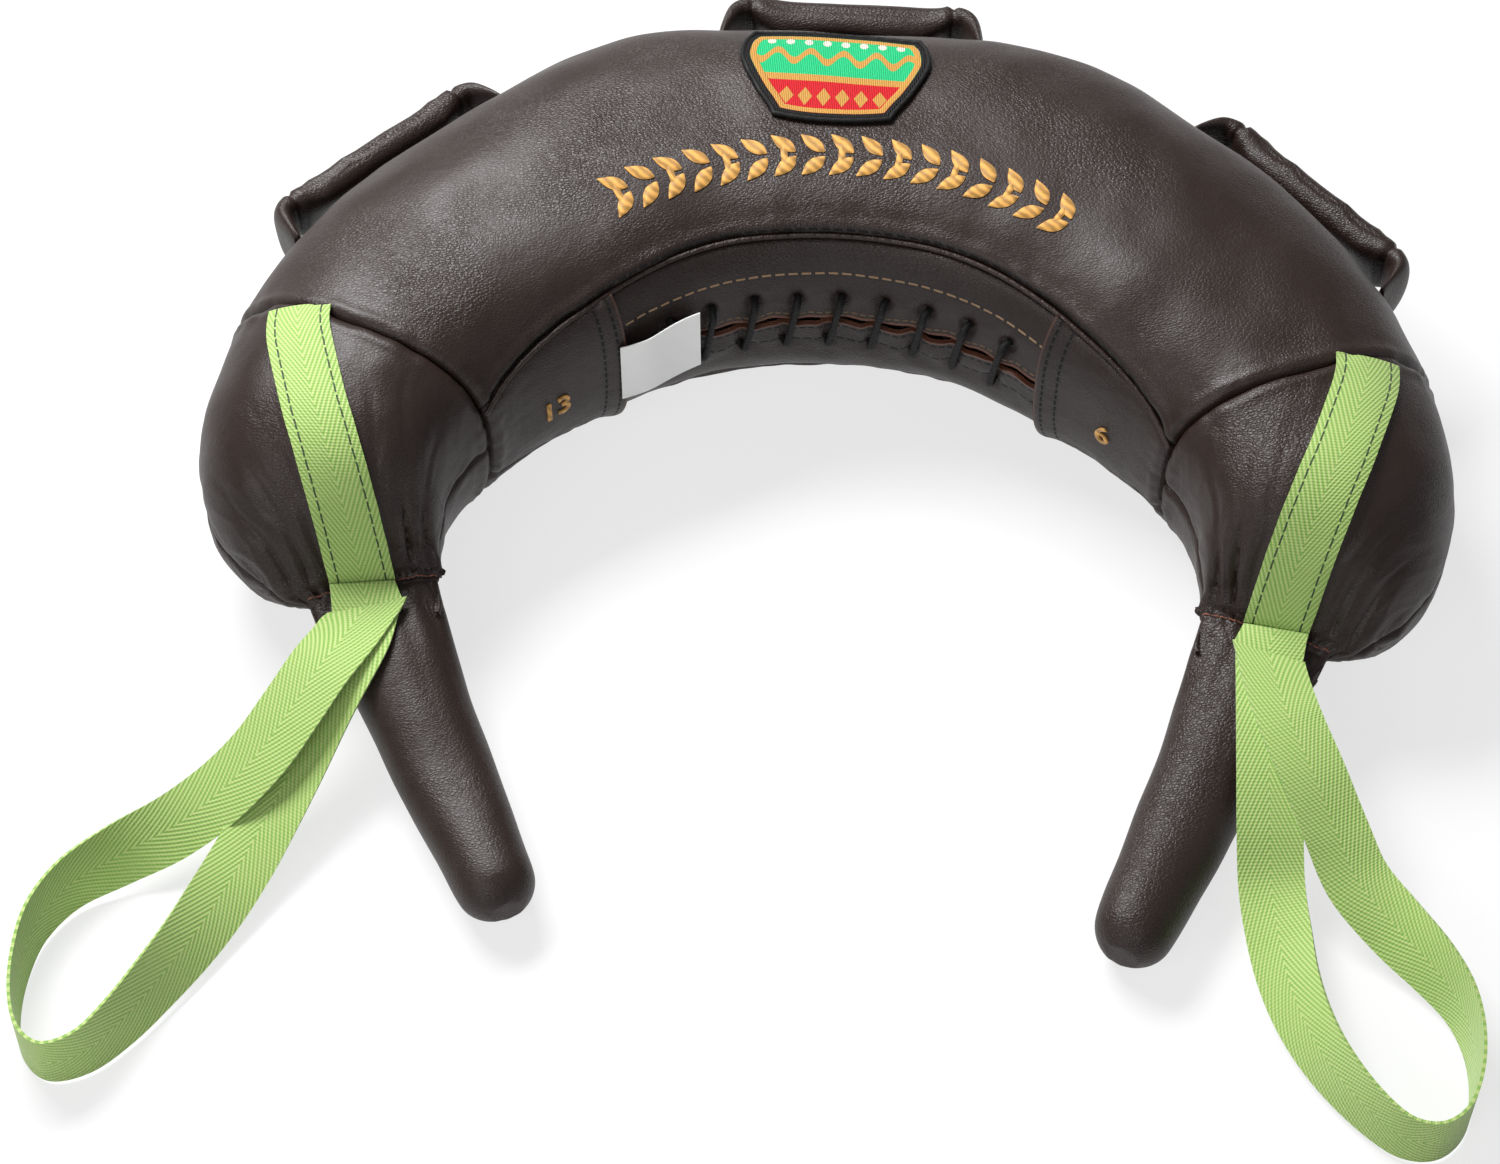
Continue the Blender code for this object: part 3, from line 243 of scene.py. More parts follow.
def choke_frame(side):
    """Middle, outward axis and forward direction of a choke's hinge, before the shift to the frame."""
    sign = SIDES[side]
    row = np.array(STATION_SHARES[-1])
    inner = polar(row[0], CHOKE_RADIUS - CHOKE_WIDTH / 2) * (sign, 1, 1)
    outer = polar(row[1], CHOKE_RADIUS + CHOKE_WIDTH / 2) * (sign, 1, 1)
    along = (outer - inner) / np.linalg.norm(outer - inner)
    forward = np.array((along[1], -along[0], 0)) * sign
    middle = (inner + outer) / 2 + forward * (CHOKE_THICKNESS / 2 + HINGE_GAP)
    middle[2] = CHOKE_HEIGHT
    return middle, along, forward


def joint_place(name):
    for joint in frame["record"]["behaviour"]["joints"]:
        if joint["name"] == name:
            return np.array(joint["pos_m"])
    raise RuntimeError(f"the frame has no joint {name}")


SHIFT = joint_place("right_grip_bend") - choke_frame("right")[0]
SHIFT[2] = 0.0


def section(station):
    """The sizes and place of the bag's cross sections at stations."""
    station = np.asarray(station, float)
    row = smooth_rows(STATIONS, station + LAST_STATION)
    inner_radius = INNER_RADIUS * row[..., 2]
    outer_radius = inner_radius + BODY_WIDTH * row[..., 3]
    closure = row[..., 5]
    inner = polar(row[..., 0], lerp(inner_radius, CHOKE_RADIUS - CHOKE_WIDTH / 2, closure))
    outer = polar(row[..., 1], lerp(outer_radius, CHOKE_RADIUS + CHOKE_WIDTH / 2, closure))
    top = lerp(BODY_HEIGHT * row[..., 4], CHOKE_HEIGHT + CHOKE_THICKNESS / 2, closure)
    low = (CHOKE_HEIGHT - CHOKE_THICKNESS / 2) * np.maximum(closure, 0) ** 1.5
    span = np.linalg.norm(outer - inner, axis=-1)
    return {
        "centre": (inner + outer) / 2 + SHIFT,
        "out": (outer - inner) / span[..., None],
        "half_width": span / 2,
        "floor": low,
        "middle": (top + low) / 2,
        "half_height": (top - low) / 2,
        "flat": FLAT_SHARE * (1 - np.clip(closure, 0, 1)),
        "roundness": lerp(3.4, 2.6, np.minimum(np.abs(station) / END_SEAM, 1)),
    }


def skin(station, angle):
    """Points of the bag's skin at stations and section angles of like shape."""
    s = section(station)
    angle = np.radians(angle)
    across, rise = np.cos(angle), np.sin(angle)
    power = 2 / np.where(across > 0, s["roundness"], 2.25)
    across = s["half_width"] * np.sign(across) * np.abs(across) ** power
    rise = s["half_height"] * np.sign(rise) * np.abs(rise) ** power
    rise = np.where(rise < 0, rise * (1 + s["flat"]), rise)
    height = np.maximum(s["middle"] + rise, s["floor"])
    points = s["centre"] - s["out"] * across[..., None]
    points[..., 2] = height
    return points


def gusset_edge(station):
    """The section angle, in degrees, of the seam between front panel and inner wall."""
    return lerp(39.0, 17.0, np.minimum(np.abs(station) / END_SEAM, 1) ** 3)


def inner_wall(station, rise, depth=0.0):
    """Points of the inner wall at heights over the section's middle, and so deep behind it."""
    s = section(station)
    share = np.minimum(np.abs(rise) / s["half_height"], 1)
    across = s["half_width"] * (1 - share ** s["roundness"]) ** (1 / s["roundness"]) - depth
    points = s["centre"] - s["out"] * np.asarray(across)[..., None]
    points[..., 2] = s["middle"] + rise
    return points


def even_grid(stations, first, last, columns):
    """Skin points in rows at stations, evenly spaced from one section angle to another."""
    shares = np.linspace(0, 1, FINE_STEPS)
    fine = first(stations)[:, None] + (last(stations) - first(stations))[:, None] * shares
    lengths = lengths_along(skin(np.repeat(stations[:, None], FINE_STEPS, axis=1), fine), 1)
    angles = np.empty((len(stations), columns + 1))
    for i in range(len(stations)):
        angles[i] = np.interp(np.linspace(0, lengths[i, -1], columns + 1), lengths[i], fine[i])
    return skin(np.repeat(stations[:, None], columns + 1, axis=1), angles)


def core_line(stations):
    """The middles of the sections at stations."""
    s = section(stations)
    line = s["centre"].copy()
    line[:, 2] = s["middle"]
    return line


def unit(vectors):
    return vectors / np.maximum(np.linalg.norm(vectors, axis=-1, keepdims=True), 1e-12)


def grid_normals(points, centres):
    """Unit normals of a grid of points, pointing away from each row's centre."""
    normal = unit(np.cross(np.gradient(points, axis=0), np.gradient(points, axis=1)))
    outward = ((points - centres[:, None]) * normal).sum(axis=-1, keepdims=True)
    return normal * np.where(outward < 0, -1.0, 1.0)


def lengths_along(points, axis):
    steps = np.linalg.norm(np.diff(points, axis=axis), axis=-1)
    start = np.zeros_like(np.take(steps, [0], axis=axis))
    return np.concatenate([start, np.cumsum(steps, axis=axis)], axis=axis)


def hump(distance, width, power=2):
    """A smooth bump from 1 where the distance is zero down to 0 beyond the width."""
    return np.exp(-((distance / width) ** power))


def fade(distance, width):
    return np.exp(-distance / width)


def even_out(values, reach, mode="edge"):
    """The running mean of a row of values."""
    count = 2 * reach + 1
    return np.convolve(np.pad(values, reach, mode=mode), np.ones(count) / count, mode="valid")


def lumps(points, width, seed):
    """Soft noise from -1 to 1 at each point."""
    flat = points.reshape(-1, 3) / width + seed
    values = [noise.noise(Vector(p)) for p in flat]
    return np.array(values).reshape(points.shape[:-1])


# ---- objects, made with Blender's operators


def deselect():
    bpy.ops.object.select_all(action="DESELECT")
    bpy.context.view_layer.objects.active = None


def only(obj):
    deselect()
    obj.select_set(True)
    bpy.context.view_layer.objects.active = obj


def apply_modifiers(obj):
    only(obj)
    for modifier in list(obj.modifiers):
        bpy.ops.object.modifier_apply(modifier=modifier.name)


def vertex_places(obj):
    places = np.empty(len(obj.data.vertices) * 3)
    obj.data.vertices.foreach_get("co", places)
    return places.reshape(-1, 3)


def vertex_normals(obj):
    normals = np.empty(len(obj.data.vertices) * 3)
    obj.data.vertices.foreach_get("normal", normals)
    return normals.reshape(-1, 3)


def set_places(obj, places):
    obj.data.vertices.foreach_set("co", np.ascontiguousarray(places).ravel())
    obj.data.update()


def bed(name, points, uvs, attributes=None):
    """A grid primitive laid over a grid of points in its own order, with a UV map and any point attributes."""
    rows, columns = points.shape[0] - 1, points.shape[1] - 1
    deselect()
    bpy.ops.mesh.primitive_grid_add(x_subdivisions=columns, y_subdivisions=rows, size=2, location=(0, 0, 0))
    obj = bpy.context.active_object
    mesh = obj.data
    obj.name = mesh.name = name
    corners = np.empty(len(mesh.loops), dtype=np.int64)
    mesh.loops.foreach_get("vertex_index", corners)
    layer = mesh.uv_layers.active or mesh.uv_layers.new()
    layer.data.foreach_set("uv", uvs.reshape(-1, 2)[corners].ravel())
    for key, values in (attributes or {}).items():
        mesh.attributes.new(key, "FLOAT", "POINT").data.foreach_set("value", values.ravel())
    set_places(obj, points)
    return obj


def face_along(obj, ways):
    """Turns a sheet's faces over if they point against the ways given, one for all vertices or one for each."""
    if (vertex_normals(obj) * np.reshape(ways, (-1, 3))).sum() < 0:
        obj.data.flip_normals()


def mend(obj, threshold, quads=False):
    """Merges doubled points and turns faces outwards, with triangles joined to quads if asked."""
    only(obj)
    bpy.ops.object.mode_set(mode="EDIT")
    bpy.ops.mesh.select_all(action="SELECT")
    bpy.ops.mesh.remove_doubles(threshold=threshold)
    if quads:
        bpy.ops.mesh.tris_convert_to_quads(face_threshold=math.radians(60), shape_threshold=math.radians(60))
    bpy.ops.mesh.normals_make_consistent(inside=False)
    bpy.ops.object.mode_set(mode="OBJECT")


def smooth(obj, angle=60):
    only(obj)
    bpy.ops.object.shade_smooth_by_angle(angle=math.radians(angle))


def thicken(obj, thickness, angle=60, offset=-1.0):
    """Gives a sheet its thickness and smooths it."""
    solid = obj.modifiers.new("thickness", "SOLIDIFY")
    solid.thickness, solid.offset, solid.use_even_offset = thickness, offset, False
    apply_modifiers(obj)
    smooth(obj, angle)


def dress(obj, look, body, nodes=()):
    obj.data.materials.clear()
    obj.data.materials.append(look)
    if body:
        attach(obj, body)
    if nodes:
        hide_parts(*nodes)


def copy_node(name, new_name, levels):
    """A merged copy of a node as quads, with its surface subdivided."""
    only(frame["nodes"][name])
    bpy.ops.object.duplicate()
    obj = bpy.context.active_object
    obj.name = new_name
    obj.parent = None
    mend(obj, 0.02 * MM, quads=True)
    finer = obj.modifiers.new("surface", "SUBSURF")
    finer.levels = finer.render_levels = levels
    apply_modifiers(obj)
    return obj


def tube(name, points, diameter, resolution=3, closed=False):
    """A tube along points, as a mesh."""
    deselect()
    bpy.ops.curve.primitive_nurbs_path_add(location=(0, 0, 0))
    obj = bpy.context.active_object
    obj.name = name
    curve = obj.data
    curve.splines.clear()
    spline = curve.splines.new("POLY")
    spline.points.add(len(points) - 1)
    for place, point in zip(spline.points, points):
        place.co = (*point, 1)
    spline.use_cyclic_u = closed
    curve.bevel_depth = diameter / 2
    curve.bevel_resolution = resolution
    curve.use_fill_caps = not closed
    only(obj)
    bpy.ops.object.convert(target="MESH")
    return bpy.context.active_object


def join(objects, name):
    deselect()
    for obj in objects:
        obj.select_set(True)
    bpy.context.view_layer.objects.active = objects[0]
    bpy.ops.object.join()
    objects[0].name = name
    return objects[0]


# ---- shader expressions


class Value:
    """A socket that takes part in Python expressions."""

    def __init__(self, look, socket):
        self.look, self.socket = look, socket

    def math(self, operation, *others):
        return self.look.node("ShaderNodeMath", {"operation": operation}, [self, *others])

    def __add__(self, other):
        return self.math("ADD", other)

    __radd__ = __add__

    def __sub__(self, other):
        return self.math("SUBTRACT", other)

    def __rsub__(self, other):
        return self.look.node("ShaderNodeMath", {"operation": "SUBTRACT"}, [other, self])

    def __mul__(self, other):
        return self.math("MULTIPLY", other)

    def __truediv__(self, other):
        return self.math("DIVIDE", other)

    def __pow__(self, other):
        return self.math("POWER", other)

    def __abs__(self):
        return self.math("ABSOLUTE")

    def __lt__(self, other):
        return self.math("LESS_THAN", other)

    def __gt__(self, other):
        return self.math("GREATER_THAN", other)

    def waves(self, length):
        """A sine wave of that length."""
        return (self / length * 2 * math.pi).math("SINE")

    def wrap(self, width):
        return self.math("WRAP", width, 0.0)

    def at_least(self, other):
        return self.math("MAXIMUM", other)


class Nodes:
    """A node tree whose nodes come from one method."""

    def __init__(self, tree):
        self.nodes, self.links = tree.nodes, tree.links

    def put(self, socket, value):
        if isinstance(value, Value):
            self.links.new(value.socket, socket)
        else:
            socket.default_value = value

    def node(self, kind, settings=None, inputs=(), output=0):
        made = self.nodes.new(kind)
        for key, value in (settings or {}).items():
            if key == "stops":
                ramp = made.color_ramp
                ramp.elements[0].position, ramp.elements[0].color = value[0]
                ramp.elements[-1].position, ramp.elements[-1].color = value[-1]
                for position, colour in value[1:-1]:
                    ramp.elements.new(position).color = colour
            else:
                setattr(made, key, value)
        for key, value in inputs.items() if isinstance(inputs, dict) else enumerate(inputs):
            self.put(made.inputs[key], value)
        return Value(self, made.outputs[output])

    def white_to_rays(self, shader, white, share, glossy_share, output):
        """Shows white to camera, glossy and transmission rays in place of a shader, by a share of it."""
        kinds = ("Is Camera Ray", "Is Glossy Ray", "Is Transmission Ray")
        camera, glossy, through = (self.node("ShaderNodeLightPath", output=kind) for kind in kinds)
        path = camera.at_least(glossy * glossy_share).at_least(through)
        mixed = self.node("ShaderNodeMixShader", None, [path * share, shader, white])
        self.put(self.nodes[output].inputs["Surface"], mixed)


class Look(Nodes):
    """A procedural material."""

    def __init__(self, name, roughness, **constants):
        self.material = bpy.data.materials.new(name)
        self.material.use_nodes = True
        super().__init__(self.material.node_tree)
        self.feed(Roughness=roughness, **constants)

    def feed(self, **inputs):
        for key, value in inputs.items():
            self.put(self.nodes["Principled BSDF"].inputs[key.replace("_", " ")], value)

    def place(self):
        return self.node("ShaderNodeTexCoord", output="Object")

    def uv(self):
        """The two parts of the UV map."""
        both = self.node("ShaderNodeUVMap")
        return [self.node("ShaderNodeSeparateXYZ", None, [both], part) for part in "XY"]

    def attribute(self, name):
        return self.node("ShaderNodeAttribute", {"attribute_name": name}, output="Fac")

    def noise(self, width, detail, rough):
        inputs = {"Vector": self.place(), "Scale": 1 / width, "Detail": detail, "Roughness": rough}
        return self.node("ShaderNodeTexNoise", None, inputs, "Fac")

    def cells(self, width, place, feature="F1"):
        inputs = {"Vector": place, "Scale": 1 / width}
        return self.node("ShaderNodeTexVoronoi", {"feature": feature}, inputs, "Distance")

    def ramp(self, value, *stops):
        """A ramp of grey levels."""
        stops = [(position, (level, level, level, 1)) for position, level in stops]
        return self.node("ShaderNodeValToRGB", {"stops": stops}, [value])

    def mix(self, share, first, second):
        """A mix of two colours."""
        colours = [c if isinstance(c, Value) else (*c, 1) for c in (first, second)]
        return self.node("ShaderNodeMix", {"data_type": "RGBA"}, {0: share, 6: colours[0], 7: colours[1]}, 2)

    def surface(self, colour, roughness, height, depth, strength):
        """The material with its colour, roughness and relief."""
        bump = self.node("ShaderNodeBump", None, {"Height": height, "Distance": depth, "Strength": strength})
        self.feed(Base_Color=colour, Roughness=roughness, Normal=bump)
        return self.material


def dashes(along, across, pitch, width, share):
    """A mask of stitches: dashes along a line where across is zero."""
    return (abs(across) < width / 2) * (along.wrap(pitch) / pitch < share)


def tinted(colour, share):
    return [min(c * share, 1) for c in colour]


def pebbles(look, width):
    """Height of pebbled leather: domed cells, drawn out sideways, with creases between them, and pores."""
    drawn_out = look.node("ShaderNodeVectorMath", {"operation": "MULTIPLY"}, [look.place(), (0.7, 1.15, 1.05)])
    drift = look.node("ShaderNodeTexNoise", None, {"Vector": look.place(), "Scale": 0.35 / width}, "Color")
    warped = look.node("ShaderNodeVectorMath", {"operation": "MULTIPLY_ADD"}, [drift, (width,) * 3, drawn_out])
    crease = look.cells(width, warped, "DISTANCE_TO_EDGE")
    return look.ramp(crease, (0.0, 0.0), (0.16, 0.5), (0.5, 1.0)) * 0.8 + look.cells(width * 0.45, warped) * 0.2


def leather_look(name, colours, sizes, painted_light=1.0, stitches=(), raw_edge=None):
    """Pebbled semi-gloss leather. stitches are (attribute, offset, thread colour, pitch) rows. Its light share scales
    all its colours, so that lighter and darker copies of one leather are painted light and shade.
    """
    look = Look(name, 0.42, Specular_IOR_Level=0.36)
    grain = pebbles(look, sizes.grain)
    broad = look.noise(38 * MM, 4, 0.6)
    rubbed = look.ramp(look.noise(120 * MM, 3, 0.55), (0.42, 0.0), (0.72, 1.0))
    # Painted light and shade: both browns are scaled by this copy's light share.
    dark, pale = tinted(colours.leather, painted_light), tinted(colours.leather_light, painted_light)
    base = look.mix(look.ramp(broad, (0.3, 0.0), (0.75, 1.0)) * 0.55 + rubbed * 0.25, dark, pale)
    # Painted shade: the creases between the pebbles are darkened.
    base = look.mix((1 - grain) * 0.55, base, tinted(dark, 0.35))
    pebbled = look.ramp(look.noise(70 * MM, 2, 0.5), (0.38, 0.35), (0.6, 1.0))
    height = grain * pebbled * 0.7 + look.noise(6 * MM, 3, 0.6) * 0.5
    rough = look.ramp(broad, (0.25, 0.36), (0.75, 0.43)) + (1 - grain) * 0.08
    for attribute, offset, thread, pitch in stitches:
        line = look.attribute(attribute) - offset
        mask = dashes(look.attribute("along"), line, pitch, 1.2 * MM, 0.7)
        groove = abs(line) < 1.5 * MM
        # Painted shade: the leather is darkened in the groove of each stitch row.
        base = look.mix(groove * 0.45, base, tinted(dark, 0.25))
        base = look.mix(mask, base, thread)
        height = height - groove + mask * 1.6
        rough = rough + mask * 0.35
    if raw_edge:
        attribute, width, colour = raw_edge
        base = look.mix(look.attribute(attribute) < width, base, colour)
    return look.surface(base, rough, height, 0.45 * MM, 0.85)


def webbing_look(name, colours, sizes, sewn):
    """Herringbone webbing in its UV map: across, then along. The sewn one has a row of stitches by each edge."""
    look = Look(name, 0.72, Sheen_Weight=0.25, Sheen_Roughness=0.5)
    across, along = look.uv()
    column = sizes.webbing_width / 2
    zigzag = abs(across.wrap(2 * column) - column)
    height = (along + zigzag * 2.2).waves(4.4 * MM) * 0.5 + 0.5
    yarn = along.waves(1.5 * MM)
    ribs = look.ramp(height + yarn * 0.14, (0.15, 0.0), (0.8, 1.0))
    # Painted highlight and shade: paler on the rib tops, darker between the yarns, following the relief.
    base = look.mix(ribs * 0.8 + 0.1, list(colours.webbing_painted_shade), list(colours.webbing))
    faded = look.ramp(look.noise(9 * MM, 3, 0.6), (0.3, 0.0), (0.8, 1.0)) * 0.3
    base = look.mix(faded, base, tinted(colours.webbing, 0.85))
    relief = height + yarn * 0.3
    if sewn:
        for edge in (4.2 * MM, sizes.webbing_width - 4.2 * MM):
            mask = dashes(along, across - edge, 6.6 * MM, 0.85 * MM, 0.8)
            base = look.mix(mask, base, (0.022, 0.050, 0.012))
            relief = relief - (abs(across - edge) < 1.4 * MM) * 0.9 + mask * 0.8
    return look.surface(base, 0.62 + (1 - ribs) * 0.2, relief, 0.22 * MM, 0.8)


def thread_look(name, colour, width, sheen=0.3, roughness=0.5):
    """Satin stitches: fine threads side by side."""
    look = Look(name, roughness, Sheen_Weight=sheen, Specular_IOR_Level=0.25)
    bands = {"wave_type": "BANDS", "bands_direction": "DIAGONAL"}
    inputs = {"Vector": look.place(), "Scale": 1 / width / 20, "Distortion": 2.0, "Detail": 2.0, "Detail Scale": 2.0}
    threads = look.node("ShaderNodeTexWave", bands, inputs, "Fac")
    # Painted highlight and shade: the colour is lighter on the threads and darker between them, following their relief.
    base = look.mix(threads * 0.7 + 0.1, tinted(colour, 0.45), tinted(colour, 1.25))
    return look.surface(base, roughness + threads * 0.15, threads, 0.25 * MM, 0.7)


def lace_look(colours):
    look = Look("black braided lace", 0.6, Specular_IOR_Level=0.25)
    braid = look.cells(1.1 * MM, look.place())
    # Painted highlight and shade: the black is lighter on the braid's bumps and darker between them.
    base = look.mix(braid, tinted(colours.lace, 2.2), tinted(colours.lace, 0.6))
    return look.surface(base, 0.55 + braid * 0.2, 1 - braid, 0.4 * MM, 0.8)


def satin_look(colours):
    look = Look("white satin", 0.34, Sheen_Weight=0.2)
    weave = look.uv()[0].waves(0.5 * MM)
    creases = look.noise(14 * MM, 2, 0.5)
    # Painted shade: the white is darkened along the creases' noise, which also gives their relief.
    base = look.mix(creases * 0.5, list(colours.label), tinted(colours.label, 0.86))
    return look.surface(base, 0.3 + creases * 0.15, weave * 0.2 + creases, 0.2 * MM, 0.5)


def filling_look(name, colour, width):
    look = Look(name, 0.9, Sheen_Weight=0.3)
    fluff = look.noise(width, 6, 0.7)
    # Painted shade: darker where the fluff is low, following its relief.
    base = look.mix(fluff, tinted(colour, 0.6), colour)
    return look.surface(base, 0.8 + fluff * 0.15, fluff, width / 4, 0.8)


# ---- pieces


class BagOperator:
    bl_options = {"REGISTER", "UNDO"}

    @property
    def sizes(self):
        return bpy.context.scene.bag_sizes

    @property
    def colours(self):
        return bpy.context.scene.bag_colours

    @property
    def leather(self):
        """The plain leather, made once."""
        name = "dark brown leather"
        return bpy.data.materials.get(name) or leather_look(name, self.colours, self.sizes)


def choke(side):
    """Middle, outward axis and forward direction of a choke's hinge."""
    middle, along, forward = choke_frame(side)
    return middle + SHIFT, along, forward


def choke_distance(points, side):
    """How far points lie behind a choke seam, and how far out along it, both in metres."""
    middle, along, forward = choke(side)
    offset = points - (middle - forward * (CHOKE_THICKNESS / 2 + HINGE_GAP))
    return -(offset @ forward), offset @ along


def seam_relief(distance, ridge):
    """The leather turns in at a seam. With a ridge it rolls up first."""
    turned, dip = -2.4 * MM * hump(distance, 0.9 * MM), -1.2 * MM * hump(distance, 2.8 * MM)
    return turned + dip + ridge * hump(distance - 5.5 * MM, 2.8 * MM)


def seam_steps(start, end, count):
    """Stations from one seam to another, closer together by the seams."""
    share = np.linspace(0, 1, count)
    eased = share - 0.55 * np.sin(2 * np.pi * share) / (2 * np.pi)
    return start + (end - start) * (0.55 * share + 0.45 * eased)


def strap_share(station):
    """Where the middle of the sewn strap lies across the bag, from 0 inside to 1 outside."""
    share = np.interp(np.abs(station), STRAP_STATIONS, STRAP_MIDDLES)
    width = max(len(share) // 18, 1)
    return even_out(share, width)


def choke_folds(points, depth, puckers):
    """Adds the folds and creases that run out from each choke to the depth of a panel's relief."""
    for side, sign in SIDES.items():
        behind, out = choke_distance(points, side)
        past = np.maximum(behind, 0)
        own_arm = (points[..., 1] < SHIFT[1] + 110 * MM) * ((points[..., 0] - SHIFT[0]) * sign > 0)
        here = (np.abs(out) < 120 * MM) * own_arm
        fan = out / (1 + past / (70 * MM)) + 3 * MM * lumps(points, 40 * MM, 1.3)
        folds = np.abs(np.sin(fan / (4.6 * MM) * math.pi / 2)) ** 0.7
        depth -= puckers * fade(past, 25 * MM) * here * (1 - folds)
        creases = np.stack([fan / (3.4 * MM), behind / (20 * MM), 0 * fan + 4.0], axis=-1)
        depth -= 1.8 * MM * (fade(past, 30 * MM) * here) * np.abs(lumps(creases, 1.0, 0.0)) ** 0.6
        depth = np.where(here & (behind < 5 * MM), depth * np.clip(behind / (5 * MM), 0.3, 1), depth)
    return depth


def leather_panel(name, node, stations, first, last, columns, sizes, look, ridges=(0.0, 0.0), calm=0.0,
                  pressed=False, lapped=False):
    """A panel of the stuffed skin between two section angles, with its seams, lumps and folds.

    calm takes lumps away, pressed makes it flat under the strap, lapped lays its first end over its neighbour.
    """
    points, centres = even_grid(stations, first, last, columns), core_line(stations)
    normals = grid_normals(points, centres)
    along, across = lengths_along(points, 0), lengths_along(points, 1)
    from_first, from_last = across, across[:, -1:] - across
    depth = sizes.lumps * (lumps(points, 62 * MM, 3.7) - 0.45) * (1 - calm)
    depth += 0.9 * MM * lumps(points, 24 * MM, 9.1) * (1 - calm)
    seams = [(from_first, ridges[0]), (from_last, ridges[1]), (along[-1:] - along, 0.6 * MM)]
    if not lapped:
        seams.append((along, 0.6 * MM))
    for distance, ridge in seams:
        depth += seam_relief(distance, ridge)
    nearest = np.minimum(np.minimum(from_first, from_last), np.minimum(along, along[-1:] - along))
    depth += 1.1 * MM * lumps(points * (1, 1, 1.6), 9 * MM, 5.3) * fade(nearest, 9 * MM)
    depth = np.minimum(choke_folds(points, depth, sizes.puckers), 0.9 * MM)
    if lapped:
        depth += (2.0 * MM - np.minimum(depth, 0)) * hump(along, 9 * MM)
    if pressed:
        s = section(stations)
        line = s["half_width"] * (2 * strap_share(stations) - 1)
        across_bag = ((points - centres[:, None]) * s["out"][:, None]).sum(axis=-1)
        under = hump(across_bag - line[:, None], 18 * MM, 6) * (points[..., 2] > centres[:, None, 2])
        depth = depth * (1 - under) - 0.5 * MM * under
    bottom = np.clip(points[..., 2] / (6 * MM), 0, 1)
    depth = np.where(points[..., 2] < 6 * MM, np.minimum(depth, 0) * bottom, depth)
    points = points + normals * depth[..., None]
    points[..., 2] = np.maximum(points[..., 2], 0.0)
    held = {"along": along, "from_first": from_first, "from_last": from_last}
    if lapped:
        held = {"along": across, "from_lap": along}
    obj = bed(name, points, np.stack([across, along], axis=-1), held)
    face_along(obj, normals)
    thicken(obj, sizes.leather)
    dress(obj, look, "bag", [node])


def constant(value):
    return lambda k: np.full(np.shape(k), float(value))


class BAG_OT_leather_body(BagOperator, bpy.types.Operator):
    """Builds the stuffed leather panels of the horseshoe"""

    bl_idname = "bag.leather_body"
    bl_label = "Leather body"

    def execute(self, context):
        sizes, colours = self.sizes, self.colours
        plain = self.leather
        rows = seam_steps(-END_SEAM, END_SEAM, 330)
        edge = ("from_first", 3.4 * MM, DARK_THREAD, 6 * MM)
        edged = leather_look("stitched front leather", colours, sizes, 1.0, (edge,))
        leather_panel("body_front", "front_panel", rows, gusset_edge, constant(180), 84, sizes, edged, (1.4 * MM, 0))
        leather_panel("body_back", "back_panel", rows, constant(180), lambda k: 360 - gusset_edge(k), 64, sizes, plain)
        laps = [("from_lap", offset, DARK_THREAD, 4.6 * MM) for offset in (4 * MM, 11 * MM)]
        raw_edge = ("from_lap", 1.1 * MM, (0.060, 0.026, 0.018))
        # The flap's leather is painted a tenth darker: painted shade.
        flap = leather_look("gusset leather", colours, sizes, 0.9, laps, raw_edge)
        for side, sign in SIDES.items():
            rows = sign * seam_steps(END_SEAM, LAST_STATION - 0.005, 190)
            front, back, inner = (f"{side}_{part}" for part in ("end_front_panel", "end_back_panel", "gusset_flap"))
            leather_panel(f"{side}_arm_front", front, rows, constant(0), constant(180), 130, sizes, plain, pressed=True)
            leather_panel(f"{side}_arm_back", back, rows, constant(180), constant(360), 96, sizes, plain)
            rows = sign * seam_steps(FLAP_EDGE - 0.16, END_SEAM, 110)
            under = (lambda k: -gusset_edge(k), gusset_edge)
            leather_panel(f"{side}_flap", inner, rows, *under, 64, sizes, flap, calm=0.4, lapped=True)
        return {"FINISHED"}


def lace_station(turn):
    """Where the lace is along the slit after so many turns, slanted in front and running on behind."""
    turn = np.asarray(turn, float)
    pitch = 2 * LACE_REACH / (LACE_CROSSINGS - 1)
    whole = np.floor(turn)
    part = turn - whole
    front = np.minimum(part / 0.5, 1) * LACE_SLANT
    behind = np.maximum(part / 0.5 - 1, 0) * (1 - LACE_SLANT)
    return LACE_REACH + pitch * (LACE_SLANT / 2 - whole - front - behind)


def lace_loop(turn):
    """How high and how far forward the lace is in its turn, with rounded corners."""
    half = LACE_HEIGHT / 2
    side, straight = LACE_LIFT - LACE_BEND, half - LACE_BEND
    bend = LACE_BEND * math.pi / 2
    quarters = (turn - math.floor(turn)) * 4
    number = int(quarters)
    along = (quarters - number) * (side + bend + straight)
    if number % 2:
        along = side + bend + straight - along
    if along < side:
        rise, forward = half, along
    elif along < side + bend:
        corner = (along - side) / LACE_BEND
        rise, forward = straight + LACE_BEND * math.cos(corner), side + LACE_BEND * math.sin(corner)
    else:
        rise, forward = straight - (along - side - bend), LACE_LIFT
    return (-rise if number in (1, 2) else rise), (-forward if number > 1 else forward)


